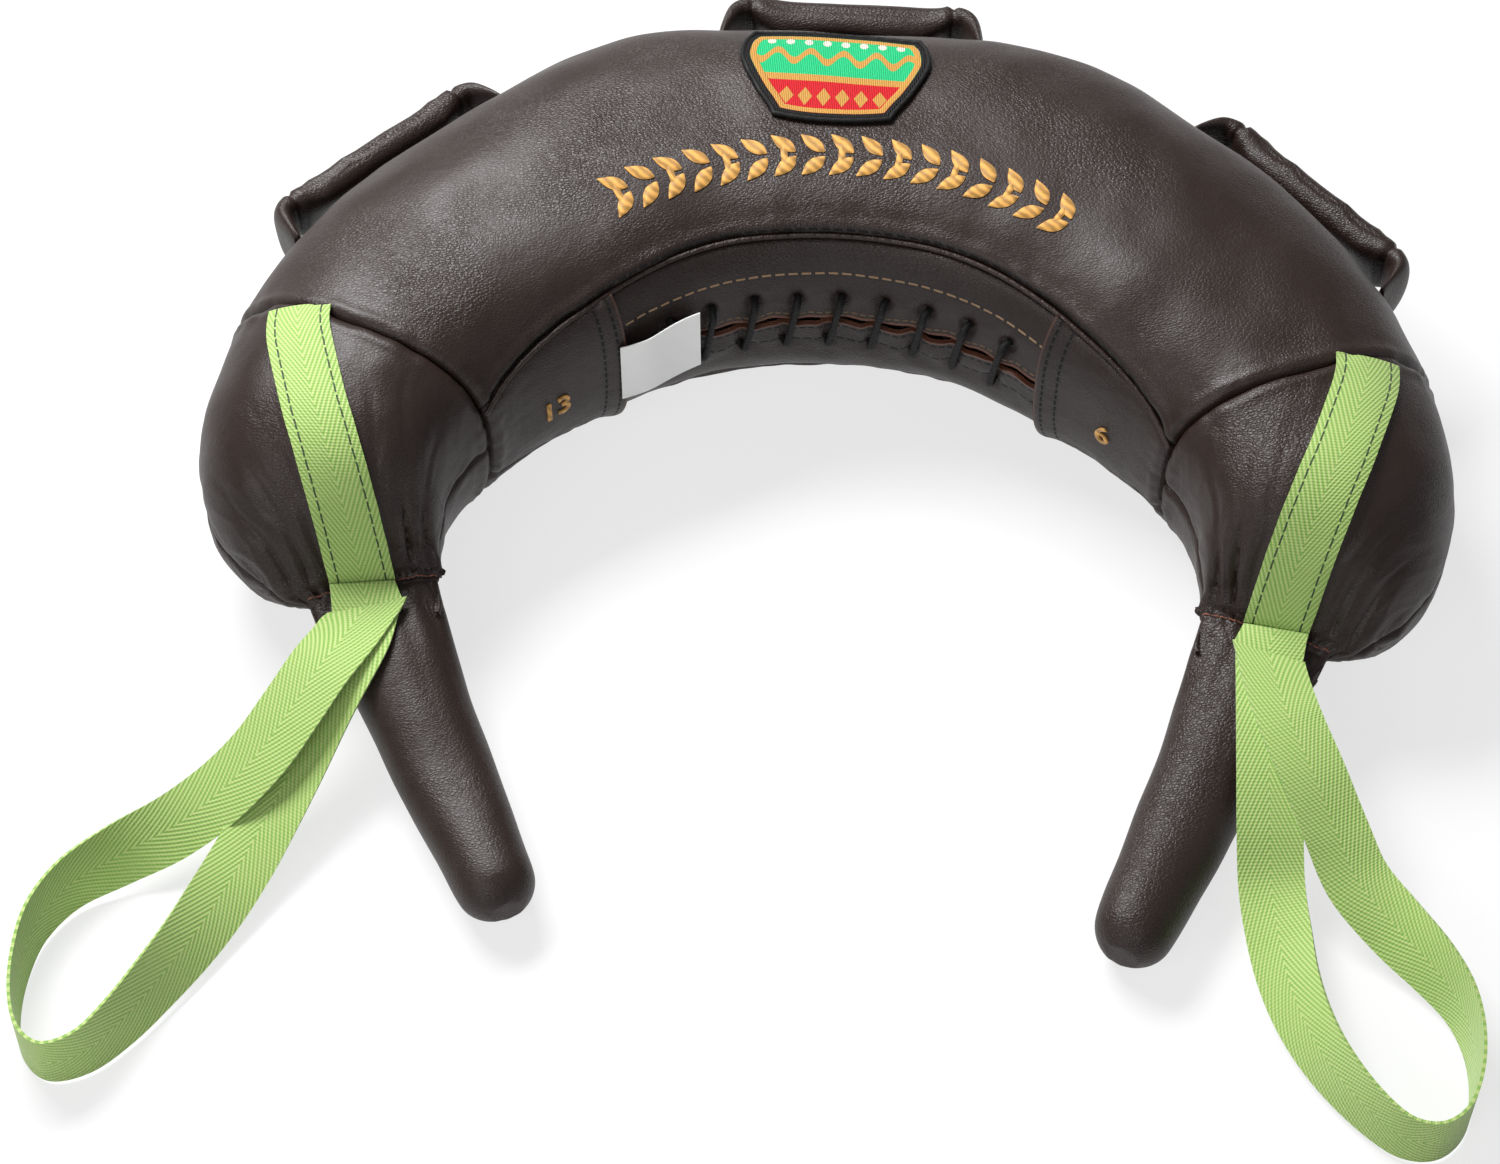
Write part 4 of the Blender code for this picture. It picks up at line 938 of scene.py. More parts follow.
class BAG_OT_closure(BagOperator, bpy.types.Operator):
    """Builds the two lips of the filling slit and the lace that whips them shut"""

    bl_idname = "bag.closure"
    bl_label = "Laced closure"

    def lip(self, name, node, sign, look):
        """A lip of the slit, drawn in at its holes. Its sign is 1 for the upper and -1 for the lower one."""
        rows = np.linspace(-FLAP_EDGE, FLAP_EDGE, 340)
        s = section(rows)
        top = sign * s["half_height"] * np.sin(np.radians(gusset_edge(rows))) ** (2 / s["roundness"])
        half = LACE_HEIGHT / 2
        holes = lace_station(np.arange(LACE_CROSSINGS) + (0.0 if sign > 0 else 0.5))
        pull = hump(rows[:, None] - holes[None], 0.16).sum(axis=1)
        wave = 0.7 * MM * np.sin(rows * 8.3) + 0.4 * MM * np.sin(rows * 4.7 + 1)
        edge = sign * 1.2 * MM + sign * 1.9 * MM * (1 - pull) + wave
        shares = np.linspace(0, 1, 41)
        rise = edge[:, None] + (top - edge)[:, None] * shares
        points = inner_wall(np.repeat(rows[:, None], len(shares), axis=1), rise)
        normals = grid_normals(points, core_line(rows))
        along, across = lengths_along(points, 0), lengths_along(points, 1)
        seam = across[:, -1:] - across
        hole = np.full(points.shape[:-1], 1.0)
        for place in inner_wall(holes, np.full(len(holes), sign * half)):
            hole = np.minimum(hole, np.linalg.norm(points - place, axis=-1))
        beside = np.abs(rise) - half
        depth = seam_relief(seam, 0.0) - 0.6 * MM
        depth += -1.6 * MM * hump(hole, 3.2 * MM)
        depth += 0.9 * MM * fade(across, 3 * MM) * (1 - pull)[:, None]
        depth += 1.1 * MM * lumps(points, 11 * MM, 2.2) * fade(np.abs(beside), 14 * MM)
        depth += 0.6 * MM * lumps(points, 6 * MM, 3.1) * hump(hole, 9 * MM)
        depth -= 1.0 * MM * pull[:, None] * hump(beside, 8 * MM)
        depth += 0.7 * MM * lumps(points, 30 * MM, 6.2)
        points = points + normals * np.minimum(depth, 0.5 * MM)[..., None]
        held = {"along": along, "from_first": across, "from_last": seam}
        obj = bed(name, points, np.stack([across, along], axis=-1), held)
        face_along(obj, normals)
        thicken(obj, self.sizes.leather)
        dress(obj, look, "bag", [node])

    def piping(self, look):
        """The thin roll of leather along the seam of front panel and inner wall, nipped by its stitches."""
        rows = np.linspace(-END_SEAM + 0.06, END_SEAM - 0.06, 700)
        line = skin(rows, gusset_edge(rows))
        inward = unit(core_line(rows) - line)
        nip = np.abs(np.sin(lengths_along(line, 0) / (6 * MM) * math.pi)) ** 0.25
        line = line + inward * (1.3 * MM + 0.5 * MM * (1 - nip))[:, None]
        roll = tube("seam_piping", line, 2.6 * MM)
        smooth(roll)
        dress(roll, look, "bag")

    def lace(self, look):
        points = []
        for turn in np.linspace(-0.2, LACE_CROSSINGS - 0.5 + 0.2, 9 * 48):
            rise, forward = lace_loop(turn)
            points.append(inner_wall(lace_station(turn), rise, LIP_LEATHER / 2 - forward))
        lace = tube("lace", points, self.sizes.lace)
        smooth(lace)
        dress(lace, look, "bag", ["closure_lace"])

    def execute(self, context):
        sizes, colours = self.sizes, self.colours
        tan, faded = list(colours.tan), tinted(colours.tan, 0.45)
        high = (("from_last", 20 * MM, tan, 6.4 * MM), ("from_first", 3.2 * MM, faded, 4.2 * MM))
        low = (("from_first", 13 * MM, DARK_THREAD, 5.4 * MM), ("from_first", 3.2 * MM, DARK_THREAD, 4.2 * MM))
        raw_high, raw_low = (("from_first", width, RAW_LEATHER) for width in (1.4 * MM, 1.2 * MM))
        # The lips' leather is painted darker than the panels, the lower lip more: painted shade.
        upper = leather_look("upper lip leather", colours, sizes, 0.85, high, raw_high)
        lower = leather_look("lower lip leather", colours, sizes, 0.8, low, raw_low)
        # The piping's leather is painted lighter: a painted highlight along the seam's roll.
        self.piping(leather_look("piped seam leather", colours, sizes, 1.15))
        self.lip("upper_lip", "upper_closure_lip", 1, upper)
        self.lip("lower_lip", "lower_closure_lip", -1, lower)
        self.lace(lace_look(colours))
        return {"FINISHED"}


class BAG_OT_handles(BagOperator, bpy.types.Operator):
    """Builds the three padded handles"""

    bl_idname = "bag.handles"
    bl_label = "Padded handles"

    def rolled(self, places, normals, angle, lean):
        """A pad's places: its upper inner side rolled in towards the bag, a seam by each tab and a crease along it."""
        out = polar(angle, 1.0)
        reach, along = (places - SHIFT) @ out, (places - SHIFT) @ np.array((-out[1], out[0], 0))
        steps = np.linspace(along.min(), along.max(), 41)
        number = np.clip(np.digitize(along, steps) - 1, 0, 39)
        near, far = np.full(40, np.inf), np.full(40, -np.inf)
        np.minimum.at(near, number, reach)
        np.maximum.at(far, number, reach)
        filled = np.isfinite(near)
        middles = (steps[:-1] + steps[1:]) / 2
        near, far = (np.interp(along, middles[filled], edge[filled]) for edge in (near, far))
        inner = np.clip((far - reach) / np.maximum(far - near, 1 * MM), 0, 1)
        end = np.abs(along)
        rise = np.clip((places[:, 2] - 56 * MM) / (26 * MM), 0, 1)
        held = np.clip((56 * MM - end) / (24 * MM), 0, 1)
        turned = lean * inner * rise * rise * (3 - 2 * rise) * held * held * (3 - 2 * held)
        depth = 1.0 * MM * (lumps(places, 22 * MM, 4.4) - 0.4)
        depth -= 1.5 * MM * hump(end - 51 * MM, 1.5 * MM)
        depth += 0.7 * MM * hump(end - 48 * MM, 2.0 * MM)
        crease = hump(inner - 0.42, 0.07) * (normals[:, 2] > 0.2)
        depth -= 0.7 * MM * crease * np.clip((46 * MM - end) / (10 * MM), 0, 1)
        places = places - out * turned[:, None] + normals * np.minimum(depth, 0.4 * MM)[:, None]
        places[:, 2] -= 0.42 * turned * inner
        return places

    def execute(self, context):
        handles = (("top_handle", 90, 11.5 * MM), ("left_handle", 135, 5.5 * MM), ("right_handle", 45, 5.5 * MM))
        for name, angle, lean in handles:
            obj = copy_node(name, f"{name}_padded", 3)
            set_places(obj, self.rolled(vertex_places(obj), vertex_normals(obj), angle, lean))
            smooth(obj)
            dress(obj, self.leather, "bag", [name])
        return {"FINISHED"}


class BAG_OT_grips(BagOperator, bpy.types.Operator):
    """Builds the two leather grips with their side seams and the folds at their roots"""

    bl_idname = "bag.grips"
    bl_label = "Grips"

    def execute(self, context):
        for side in SIDES:
            obj = copy_node(f"{side}_grip", f"{side}_grip_leather", 2)
            places, normals = vertex_places(obj), vertex_normals(obj)
            behind, out = choke_distance(places, side)
            ahead = np.maximum(-behind, 0)
            near = fade(ahead, 30 * MM) * np.minimum(ahead / (14 * MM), 1)
            fan = out / (1 + ahead / (120 * MM))
            folds = np.abs(np.sin(fan / (5 * MM) * math.pi / 2))
            depth = -2.2 * MM * near * (1 - folds)
            depth += 0.8 * MM * (lumps(places, 26 * MM, 8.8) - 0.4) * np.minimum(ahead / (20 * MM), 1)
            depth = np.where(places[:, 2] < 4 * MM, 0, depth)
            set_places(obj, places + normals * depth[:, None])
            smooth(obj)
            dress(obj, self.leather, f"{side}_tail", [f"{side}_grip"])
        return {"FINISHED"}


def webbing_bed(name, points, normals, sizes, middles=None):
    """A strap laid over rows of points across it. Its UV map runs across it, then along it or its middles, in metres."""
    along = lengths_along(points, 0)
    if middles is not None:
        along = np.broadcast_to(lengths_along(middles, 0)[:, None], points.shape[:2])
    across = np.broadcast_to((STRAP_COLUMNS + 0.5) * sizes.webbing_width, along.shape)
    obj = bed(name, points, np.stack([across, along], axis=-1))
    if normals is not None:
        face_along(obj, normals)
    thicken(obj, sizes.webbing, 40, 0.0 if normals is None else -1.0)
    return obj, float(along[:, len(STRAP_COLUMNS) // 2].max())


def land_down(pieces, x, y, reach=0.8 * MM):
    """A point at a place, on the highest of the pieces under and right round it."""
    heights = []
    for dx, dy in ((0, 0), (reach, 0), (-reach, 0), (0, reach), (0, -reach)):
        for obj in pieces:
            hit, spot, _, _ = obj.ray_cast(Vector((x + dx, y + dy, RAY_HEIGHT)), Vector((0, 0, -1)))
            if hit:
                heights.append(spot.z)
    if not heights:
        raise RuntimeError(f"nothing lies under {x:.3f}, {y:.3f}")
    return np.array((x, y, max(heights)))


def laid(pieces, plan):
    """The points of a plan, each on the highest of the pieces under it."""
    points = np.array([land_down(pieces, *place[:2]) for place in plan.reshape(-1, plan.shape[-1])])
    return points.reshape(*plan.shape[:-1], 3)


class BAG_OT_straps(BagOperator, bpy.types.Operator):
    """Builds the webbing: a stretch sewn down each arm and a loose hand loop"""

    bl_idname = "bag.straps"
    bl_label = "Webbing straps"

    def sewn(self, side, look):
        """The stretch sewn down an arm, laid on the leather and square to the choke at its end."""
        sign = SIDES[side]
        stations = sign * np.linspace(8.05, 14.86, 98)
        s = section(stations)
        share = even_out(np.interp(np.abs(stations), STRAP_STATIONS, STRAP_MIDDLES), 8)
        middles = s["centre"] + s["out"] * (s["half_width"] * (2 * share - 1))[:, None]
        # From this row on the strap runs straight to the choke
        straight, forward = 78, choke(side)[2]
        way = unit(middles[straight] - middles[straight - 12])
        beyond = (middles[straight:] - middles[straight]) @ forward / (way @ forward)
        middles[straight:] = middles[straight] + way * beyond[:, None]
        ahead = unit(np.gradient(middles, axis=0) * (1, 1, 0))
        square = np.stack([-ahead[:, 1], ahead[:, 0], 0 * ahead[:, 0]], axis=-1)
        mixed = unit(lerp(square, s["out"] * sign, (np.linspace(0, 1, len(stations)) ** 2)[:, None]))
        mixed = mixed / (mixed * square).sum(axis=1, keepdims=True)
        plan = middles[:, None] + mixed[:, None] * (STRAP_COLUMNS[None, :, None] * self.sizes.webbing_width)
        leather = [bpy.data.objects[name] for name in (f"{side}_arm_front", "body_front", f"{side}_neck")]
        points = laid(leather, plan)
        for column in points[..., 2].T:
            column[:] = np.maximum(column, even_out(column, 2))
        normals = unit(np.cross(np.gradient(points, axis=0), np.gradient(points, axis=1)))
        normals *= np.where(normals[..., 2:] < 0, -1, 1)
        up = unit(normals[:, 2:-2].mean(axis=1))
        up = unit(np.stack([even_out(part, 3) for part in up.T], axis=-1))
        wide = unit(plan[:, -1] - plan[:, 0])
        up = unit(up - wide * (up * wide).sum(axis=1, keepdims=True))
        normals = np.repeat(up[:, None], len(STRAP_COLUMNS), axis=1)
        points = points + normals * (0.5 * MM + self.sizes.webbing)
        obj, length = webbing_bed(f"{side}_sewn_webbing", points, normals, self.sizes)
        dress(obj, look, "bag", [f"{side}_strap_sewn"])

    def fold(self, side, look):
        """The strap's fold at the choke: two plies from the loop's root back to the sewn stretch, round as a bend."""
        sizes = self.sizes
        middle, along, forward = choke(side)
        middle[2] = 0
        bend = (sizes.webbing + LOOP_PLY_GAP) / 2
        root_z = STRAP_FLOOR + sizes.webbing / 2
        points = []
        for column in STRAP_COLUMNS:
            raised = column + 0.5
            far = np.array((lerp(-0.6 * MM, -2.4 * MM, raised), root_z + bend + lerp(0.6 * MM, 5.4 * MM, raised)))
            near = np.array((LOOP_ROOT_FORWARD + 0.3 * MM, root_z + bend))
            way = (far - near) / np.linalg.norm(far - near)
            side_way = np.array((-way[1], way[0]))
            line = [lerp(near, far, s) + side_way * bend for s in np.linspace(0, 1, 16)]
            for turn in np.linspace(0, math.pi, 9)[1:-1]:
                line.append(far + bend * (side_way * math.cos(turn) + way * math.sin(turn)))
            line += [lerp(far, near, s) - side_way * bend for s in np.linspace(0, 1, 16)]
            row = []
            for ahead, height in line:
                spread = 1 + 0.09 * max((ahead + 1 * MM) / (9 * MM), 0)
                out = LOOP_ROOT_OUT + column * sizes.webbing_width * spread
                row.append(middle + along * out + forward * ahead + np.array((0, 0, height)))
            points.append(row)
        points = np.swapaxes(np.array(points), 0, 1)
        obj, length = webbing_bed(f"{side}_strap_fold", points, None, sizes)
        dress(obj, look, None, ())
        start, end = middle - forward * 4 * MM, middle + forward * 3 * MM
        start[2] = end[2] = CHOKE_HEIGHT
        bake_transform(obj)

    def loop(self, side, look):
        """The loose hand loop: from the choke down to the floor, round on its edge and back, both plies at the root."""
        sign = SIDES[side]
        sizes = self.sizes
        middle, along, forward = choke(side)
        root = middle + along * LOOP_ROOT_OUT + forward * LOOP_ROOT_FORWARD
        root[2] = STRAP_FLOOR + sizes.webbing / 2
        table = LOOP_SHARES[side]
        share = np.linspace(0, 1, 261)
        rows = smooth_rows(table, share * (len(table) - 1))
        middles = root + rows[:, :3] * (sign, -1, 1) * LOOP_REACH
        middles[:, 2] += (sizes.webbing + LOOP_PLY_GAP) * np.maximum(1 - 2 * share, 0)
        ahead = unit(np.gradient(middles, axis=0))
        flat = unit(np.stack([ahead[:, 1], -ahead[:, 0], 0 * ahead[:, 0]], axis=-1)) * -sign
        length = lengths_along(middles, 0)
        from_end = np.minimum(length, length[-1] - length) / (40 * MM)
        across = along[None] * np.sign((flat * along).sum(axis=1))[:, None]
        slanted = unit(lerp(across, flat, np.clip(from_end, 0, 1)[:, None]))
        slanted = slanted / np.maximum((slanted * flat).sum(axis=1, keepdims=True), 0.8)
        tilt = np.radians(rows[:, 3])[:, None]
        upright = np.array((0, 0, 1)) - ahead * ahead[:, 2:]
        wide = slanted * np.cos(tilt) + unit(upright) * np.sin(tilt)
        thin = unit(np.cross(ahead, wide))
        points = middles[:, None] + wide[:, None] * (STRAP_COLUMNS[None, :, None] * sizes.webbing_width)
        points = points + thin[:, None] * (sizes.webbing / 2)
        normals = np.repeat(thin, len(STRAP_COLUMNS), axis=0)
        obj, length = webbing_bed(f"{side}_loop_webbing", points, normals, sizes, middles)
        dress(obj, look, f"{side}_loop", [f"{side}_strap_loop"])

    def execute(self, context):
        sewn = webbing_look("sewn green webbing", self.colours, self.sizes, True)
        loose = webbing_look("loose green webbing", self.colours, self.sizes, False)
        for side in SIDES:
            self.sewn(side, sewn)
            self.fold(side, loose)
            self.loop(side, loose)
        return {"FINISHED"}


def badge_outline(count):
    """Half widths and arches of the badge from its foot to its top, as shares."""
    table = (
        (0.62, -0.05), (0.70, -0.03), (0.80, -0.01), (0.88, 0.0), (0.95, 0.01),
        (1.0, 0.02), (1.0, 0.03), (0.97, 0.045), (0.9, 0.07),
    )
    return smooth_rows(table, np.linspace(0, len(table) - 1, count))


class BAG_OT_badge(BagOperator, bpy.types.Operator):
    """Builds the embroidered badge with its rope border and plain motifs"""

    bl_idname = "bag.badge"
    bl_label = "Embroidered badge"

    def look(self):
        look = Look("badge embroidery", 0.6, Specular_IOR_Level=0.2)
        across, up = look.uv()
        gold, red, green = (list(c) for c in (self.colours.gold, self.colours.badge_red, self.colours.badge_green))
        threads = (across + look.noise(1.2 * MM, 3, 0.7) * 0.6 * MM).waves(0.9 * MM) * 0.5 + 0.5
        edge = look.attribute("rim")
        column = (across.wrap(9 * MM) - 4.5 * MM) / (4.5 * MM)
        stripe = abs(up - 0.40) < 0.035
        diamond = (abs(column) + abs(up - 0.21) * 9) < 0.78
        wave = abs(up - 0.66 - across.waves(16 * MM) * 0.07) < 0.045
        dots = (column * column + ((up - 0.86) * 11) ** 2) < 0.22
        rope = abs(edge - 5.2 * MM) < 1.5 * MM
        base = look.mix(up > 0.40, red, green)
        # The last mask paints shade: the colour is darkened towards black between the threads.
        for mask, colour in (
            (stripe, gold), (diamond, gold), (wave, gold), (dots, (0.75, 0.72, 0.62)), (rope, gold),
            (edge < 3.6 * MM, (0.006, 0.006, 0.006)), ((1 - threads) * 0.45, (0.0, 0.0, 0.0)),
        ):
            base = look.mix(mask, base, colour)
        height = threads + rope * 1.5 + diamond * 1.2 + wave * 1.2 + dots
        return look.surface(base, 0.5 + threads * 0.2, height, 0.3 * MM, 0.8)

    def execute(self, context):
        sizes = self.sizes
        skin_object = bpy.data.objects["body_front"]
        rows, columns = 80, 120
        outline = badge_outline(rows + 1)
        across = np.linspace(-1, 1, columns + 1)
        foot = SHIFT[1] + 219 * MM
        half = outline[:, :1] * across[None] * sizes.badge_width / 2
        up = np.linspace(0, 1, rows + 1)[:, None] + outline[:, 1:] * (1 - across[None] ** 2)
        forward = foot + sizes.badge_height * up
        plan = np.stack([SHIFT[0] - 6 * MM + half, forward], axis=-1)
        ring = np.concatenate([plan[0], plan[1:-1, -1], plan[-1, ::-1], plan[-2:0:-1, 0]])
        rim = np.full(plan.shape[:-1], 1.0)
        for place in ring:
            rim = np.minimum(rim, np.linalg.norm(plan - place, axis=-1))
        landed = laid([skin_object], plan)
        z = landed[..., 2]
        for _ in range(6):
            z[1:-1, 1:-1] = (z[:-2, 1:-1] + z[2:, 1:-1] + z[1:-1, :-2] + z[1:-1, 2:]) / 4
        z += 1.9 * MM + 0.9 * MM * hump(rim - 1.9 * MM, 1.6 * MM) + 0.35 * MM * hump(rim - 5.2 * MM, 1.2 * MM)
        z -= 1.2 * MM * fade(rim, 0.6 * MM)
        uvs = np.stack([half, np.broadcast_to(np.linspace(0, 1, rows + 1)[:, None], half.shape)], axis=-1)
        obj = bed("badge", landed, uvs, {"rim": rim})
        face_along(obj, (0, 0, 1))
        thicken(obj, 1.4 * MM, 50)
        dress(obj, self.look(), "bag", ["badge_patch"])
        self.border(ring, skin_object)
        return {"FINISHED"}

    def border(self, ring, skin_object):
        """The black whipped border: a cord of slanted stitches round the badge."""
        closed = np.concatenate([ring, ring[:1]])
        length = lengths_along(closed, 0)
        count = int(length[-1] / (1.3 * MM))
        places = np.linspace(0, length[-1], count, endpoint=False)
        line = laid([skin_object], np.stack([np.interp(places, length, part) for part in closed.T], axis=-1))
        line[:, 2] = even_out(line[:, 2], 6, "wrap") + 1.7 * MM + 0.25 * MM * (np.arange(count) % 2)
        obj = tube("badge_border", line, 2.6 * MM, 2, True)
        smooth(obj)
        look = thread_look("black whipped border", (0.006, 0.006, 0.006), 0.5 * MM, 0.0, 0.6)
        dress(obj, look, "bag", ())


class BAG_OT_trim(BagOperator, bpy.types.Operator):
    """Builds the gold band of leaves, the weight marks and the label"""

    bl_idname = "bag.trim"
    bl_label = "Embroidery and label"

    def motif(self, length, half_width, place, turn, skin_object):
        """A small domed shape of gold thread, laid on the leather."""
        deselect()
        bpy.ops.mesh.primitive_grid_add(x_subdivisions=14, y_subdivisions=14, size=2, location=(0, 0, 0))
        obj = bpy.context.active_object
        flat = vertex_places(obj)
        u, v = (flat[:, 0] + 1) / 2, flat[:, 1]
        local_x, local_y = (u - 0.5) * length, v * half_width(u)
        c, s = math.cos(turn), math.sin(turn)
        plan = np.stack([place[0] + c * local_x - s * local_y, place[1] + s * local_x + c * local_y], axis=-1)
        landed = laid([skin_object], plan)
        dome = np.maximum(1 - v**2, 0) * np.minimum(half_width(u) / (2 * MM), 1)
        landed[:, 2] += 0.25 * MM + 0.9 * MM * dome
        set_places(obj, landed)
        face_along(obj, (0, 0, 1))
        return obj

    def band(self, look):
        """Two rows of leaves with a bar between every other pair."""
        skin_object = bpy.data.objects["body_front"]

        def leaf(u):
            return 3.4 * MM * np.sin(np.pi * np.clip(u, 0.02, 0.98)) ** 0.8 * (1.25 - 0.5 * u)

        pieces = []
        for i, angle in enumerate(np.linspace(58, 122, self.sizes.motifs)):
            turn = math.radians(angle)
            out = np.array((math.cos(turn), math.sin(turn)))
            middle = SHIFT[:2] + 197 * MM * out
            for sign in (1, -1):
                place, slant = middle + sign * out * 6.5 * MM, turn + math.pi / 2 - sign * 0.75
                pieces.append(self.motif(15 * MM, leaf, place, slant, skin_object))
            if i % 2 == 0:
                pieces.append(self.motif(9 * MM, constant(1.6 * MM), middle, turn, skin_object))
        made = join(pieces, "gold_band")
        thicken(made, 0.35 * MM)
        dress(made, look, "bag", ())

    def number(self, text, station, rise, look, name):
        """A plain number stitched on the inner wall."""
        deselect()
        bpy.ops.object.text_add(location=(0, 0, 0))
        obj = bpy.context.active_object
        obj.name = name
        obj.data.body = text
        obj.data.size = 17 * MM
        obj.data.align_x, obj.data.align_y = "CENTER", "CENTER"
        obj.data.extrude = 0.3 * MM
        obj.data.bevel_depth = 0.25 * MM
        obj.data.bevel_resolution = 1
        bpy.ops.object.convert(target="MESH")
        obj = bpy.context.active_object
        s = section(station)
        along = unit(section(station - 0.1)["centre"] - section(station + 0.1)["centre"])
        flap = bpy.data.objects["left_flap" if station < 0 else "right_flap"]
        spots = []
        for x, y, z in vertex_places(obj):
            wanted = inner_wall(station, rise + y) - along * x
            hit, spot, _, _ = flap.ray_cast(Vector(wanted - s["out"] * 30 * MM), Vector(s["out"]))
            spots.append((np.array(spot) if hit else wanted) - s["out"] * (0.45 * MM + z))
        set_places(obj, np.array(spots))
        mend(obj, 0.01 * MM)
        smooth(obj, 40)
        dress(obj, look, "bag", ())

    def label(self):
        """The label, sewn in at its left end, with its free part clear of the wall and the lace."""
        share = np.linspace(0, 1, 61)[:, None]
        heights = np.linspace(-20 * MM, 20 * MM, 41)
        stations = np.repeat(lerp(-4.72, -2.95, share), len(heights), axis=1)
        rounded = lerp(0.42, 1.08, np.sin(np.minimum(share * 2.4, 1) * math.pi / 2))
        lift = 5.8 * MM * rounded + 0.5 * MM * np.sin(share * 6) * np.linspace(0.2, 1, len(heights))
        points = inner_wall(stations, np.zeros_like(stations), -lift)
        points[..., 2] += heights + lerp(-1 * MM, 6 * MM, share)
        along, across = lengths_along(points, 0), lengths_along(points, 1)
        obj = bed("satin_label", points, np.stack([across, along], axis=-1))
        face_along(obj, -section(-3.8)["out"])
        thicken(obj, 0.5 * MM, 40)
        dress(obj, satin_look(self.colours), "bag", ["care_label"])

    def execute(self, context):
        gold = thread_look("gold embroidery thread", self.colours.gold, 0.5 * MM)
        self.band(gold)
        self.number("13", -6.1, -6 * MM, gold, "weight_pounds")
        self.number("6", 6.1, -6 * MM, gold, "weight_kilos")
        self.label()
        return {"FINISHED"}


class BAG_OT_chokes(BagOperator, bpy.types.Operator):
    """Gathers the leather through the two chokes and stitches them with red-brown thread"""

    bl_idname = "bag.chokes"
    bl_label = "Chokes"

    def neck(self, side, look):
        """The sleeve of leather that runs through a choke from the arm to the grip."""
        middle, along, forward = choke(side)
        ahead = np.linspace(-10 * MM, 16 * MM, 66)
        turns = np.linspace(0, 2 * math.pi, 145)[:, None]
        pieces = [bpy.data.objects[f"{side}_{part}"] for part in ("arm_front", "arm_back", "grip_leather")]
        reach = 48 * MM
        cores = along * 29 * MM * np.cos(turns)
        ways = unit(along * 0.55 * np.cos(turns) + np.array((0, 0, 1)) * np.sin(turns))
        radius = np.full((len(ahead), len(turns)), np.nan)
        for i, f in enumerate(ahead):
            if -5.0 * MM < f < -1.2 * MM:
                continue
            for j, (core, way) in enumerate(zip(cores, ways)):
                start = middle + forward * f + core + way * reach
                for obj in pieces:
                    hit, spot, _, _ = obj.ray_cast(Vector(start), Vector(-way), distance=reach)
                    if hit:
                        radius[i, j] = np.nanmax((radius[i, j], reach - np.linalg.norm(np.array(spot) - start)))
        for column in radius.T:
            known = ~np.isnan(column)
            column[:] = np.interp(ahead, ahead[known], column[known])
        places = cores + forward * ahead[:, None, None] + ways * radius[..., None]
        out = places @ along
        under = hump(out - LOOP_ROOT_OUT, 18 * MM, 8) * (places[..., 2] > 0)
        tucked = 1.3 * MM * fade(ahead + 10 * MM, 1.6 * MM) + 2.4 * MM * fade(16 * MM - ahead, 3 * MM)
        gather = np.abs(np.sin(out / (2.7 * MM) + 1.5 * lumps(places, 9 * MM, 7.7))) ** 0.7
        window = hump(ahead + 2 * MM, 8 * MM)[:, None] * np.clip((34 * MM - np.abs(out)) / (10 * MM), 0, 1)
        seam = hump(ahead + 3.6 * MM, 1.1 * MM)[:, None]
        lift = 0.25 * MM - tucked[:, None] + (1 - under) * (1.3 * MM * gather * window - 0.9 * MM * seam)
        places = middle + places + ways * lift[..., None]
        places[:, -1] = places[:, 0]
        uvs = np.stack([out, np.broadcast_to(ahead[:, None], out.shape)], axis=-1)
        obj = bed(f"{side}_neck", places, uvs)
        mend(obj, 0.001 * MM)
        offset = vertex_places(obj) - middle
        face_along(obj, offset - np.outer(offset @ forward, forward))
        thicken(obj, 0.9 * MM)
        dress(obj, look, None)
        start, end = middle - forward * 5 * MM, middle + forward * 4 * MM
        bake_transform(obj)
        return obj

    def stitches(self, side, neck, look):
        """Short stitches through the sleeve on both faces of the choke, but for the strap's place."""
        middle, along, forward = choke(side)
        middle = middle - forward * 3.8 * MM
        bars = []
        for i in range(-8, 9):
            out = i * STITCH_PITCH
            if abs(out - LOOP_ROOT_OUT) < 15.9 * MM:
                continue
            for up in (1, -1):
                line = []
                for t in np.linspace(-0.42, 0.42, 5):
                    start = middle + along * (out + t * STITCH_PITCH) + np.array((0, 0, up * 30 * MM))
                    hit, spot, _, _ = neck.ray_cast(Vector(start), Vector((0, 0, -up)))
                    if hit:
                        line.append(np.array(spot) + np.array((0, 0, up * (0.5 - 2.2 * t * t) * MM)))
                if len(line) == 5:
                    bars.append(tube("stitch", line, 0.8 * MM, 1))
        made = join(bars, f"{side}_choke_stitches")
        smooth(made)
        dress(made, look, "bag", ())

    def execute(self, context):
        thread = thread_look("red-brown thread", self.colours.choke, 0.4 * MM)
        for side in SIDES:
            self.stitches(side, self.neck(side, self.leather), thread)
        return {"FINISHED"}


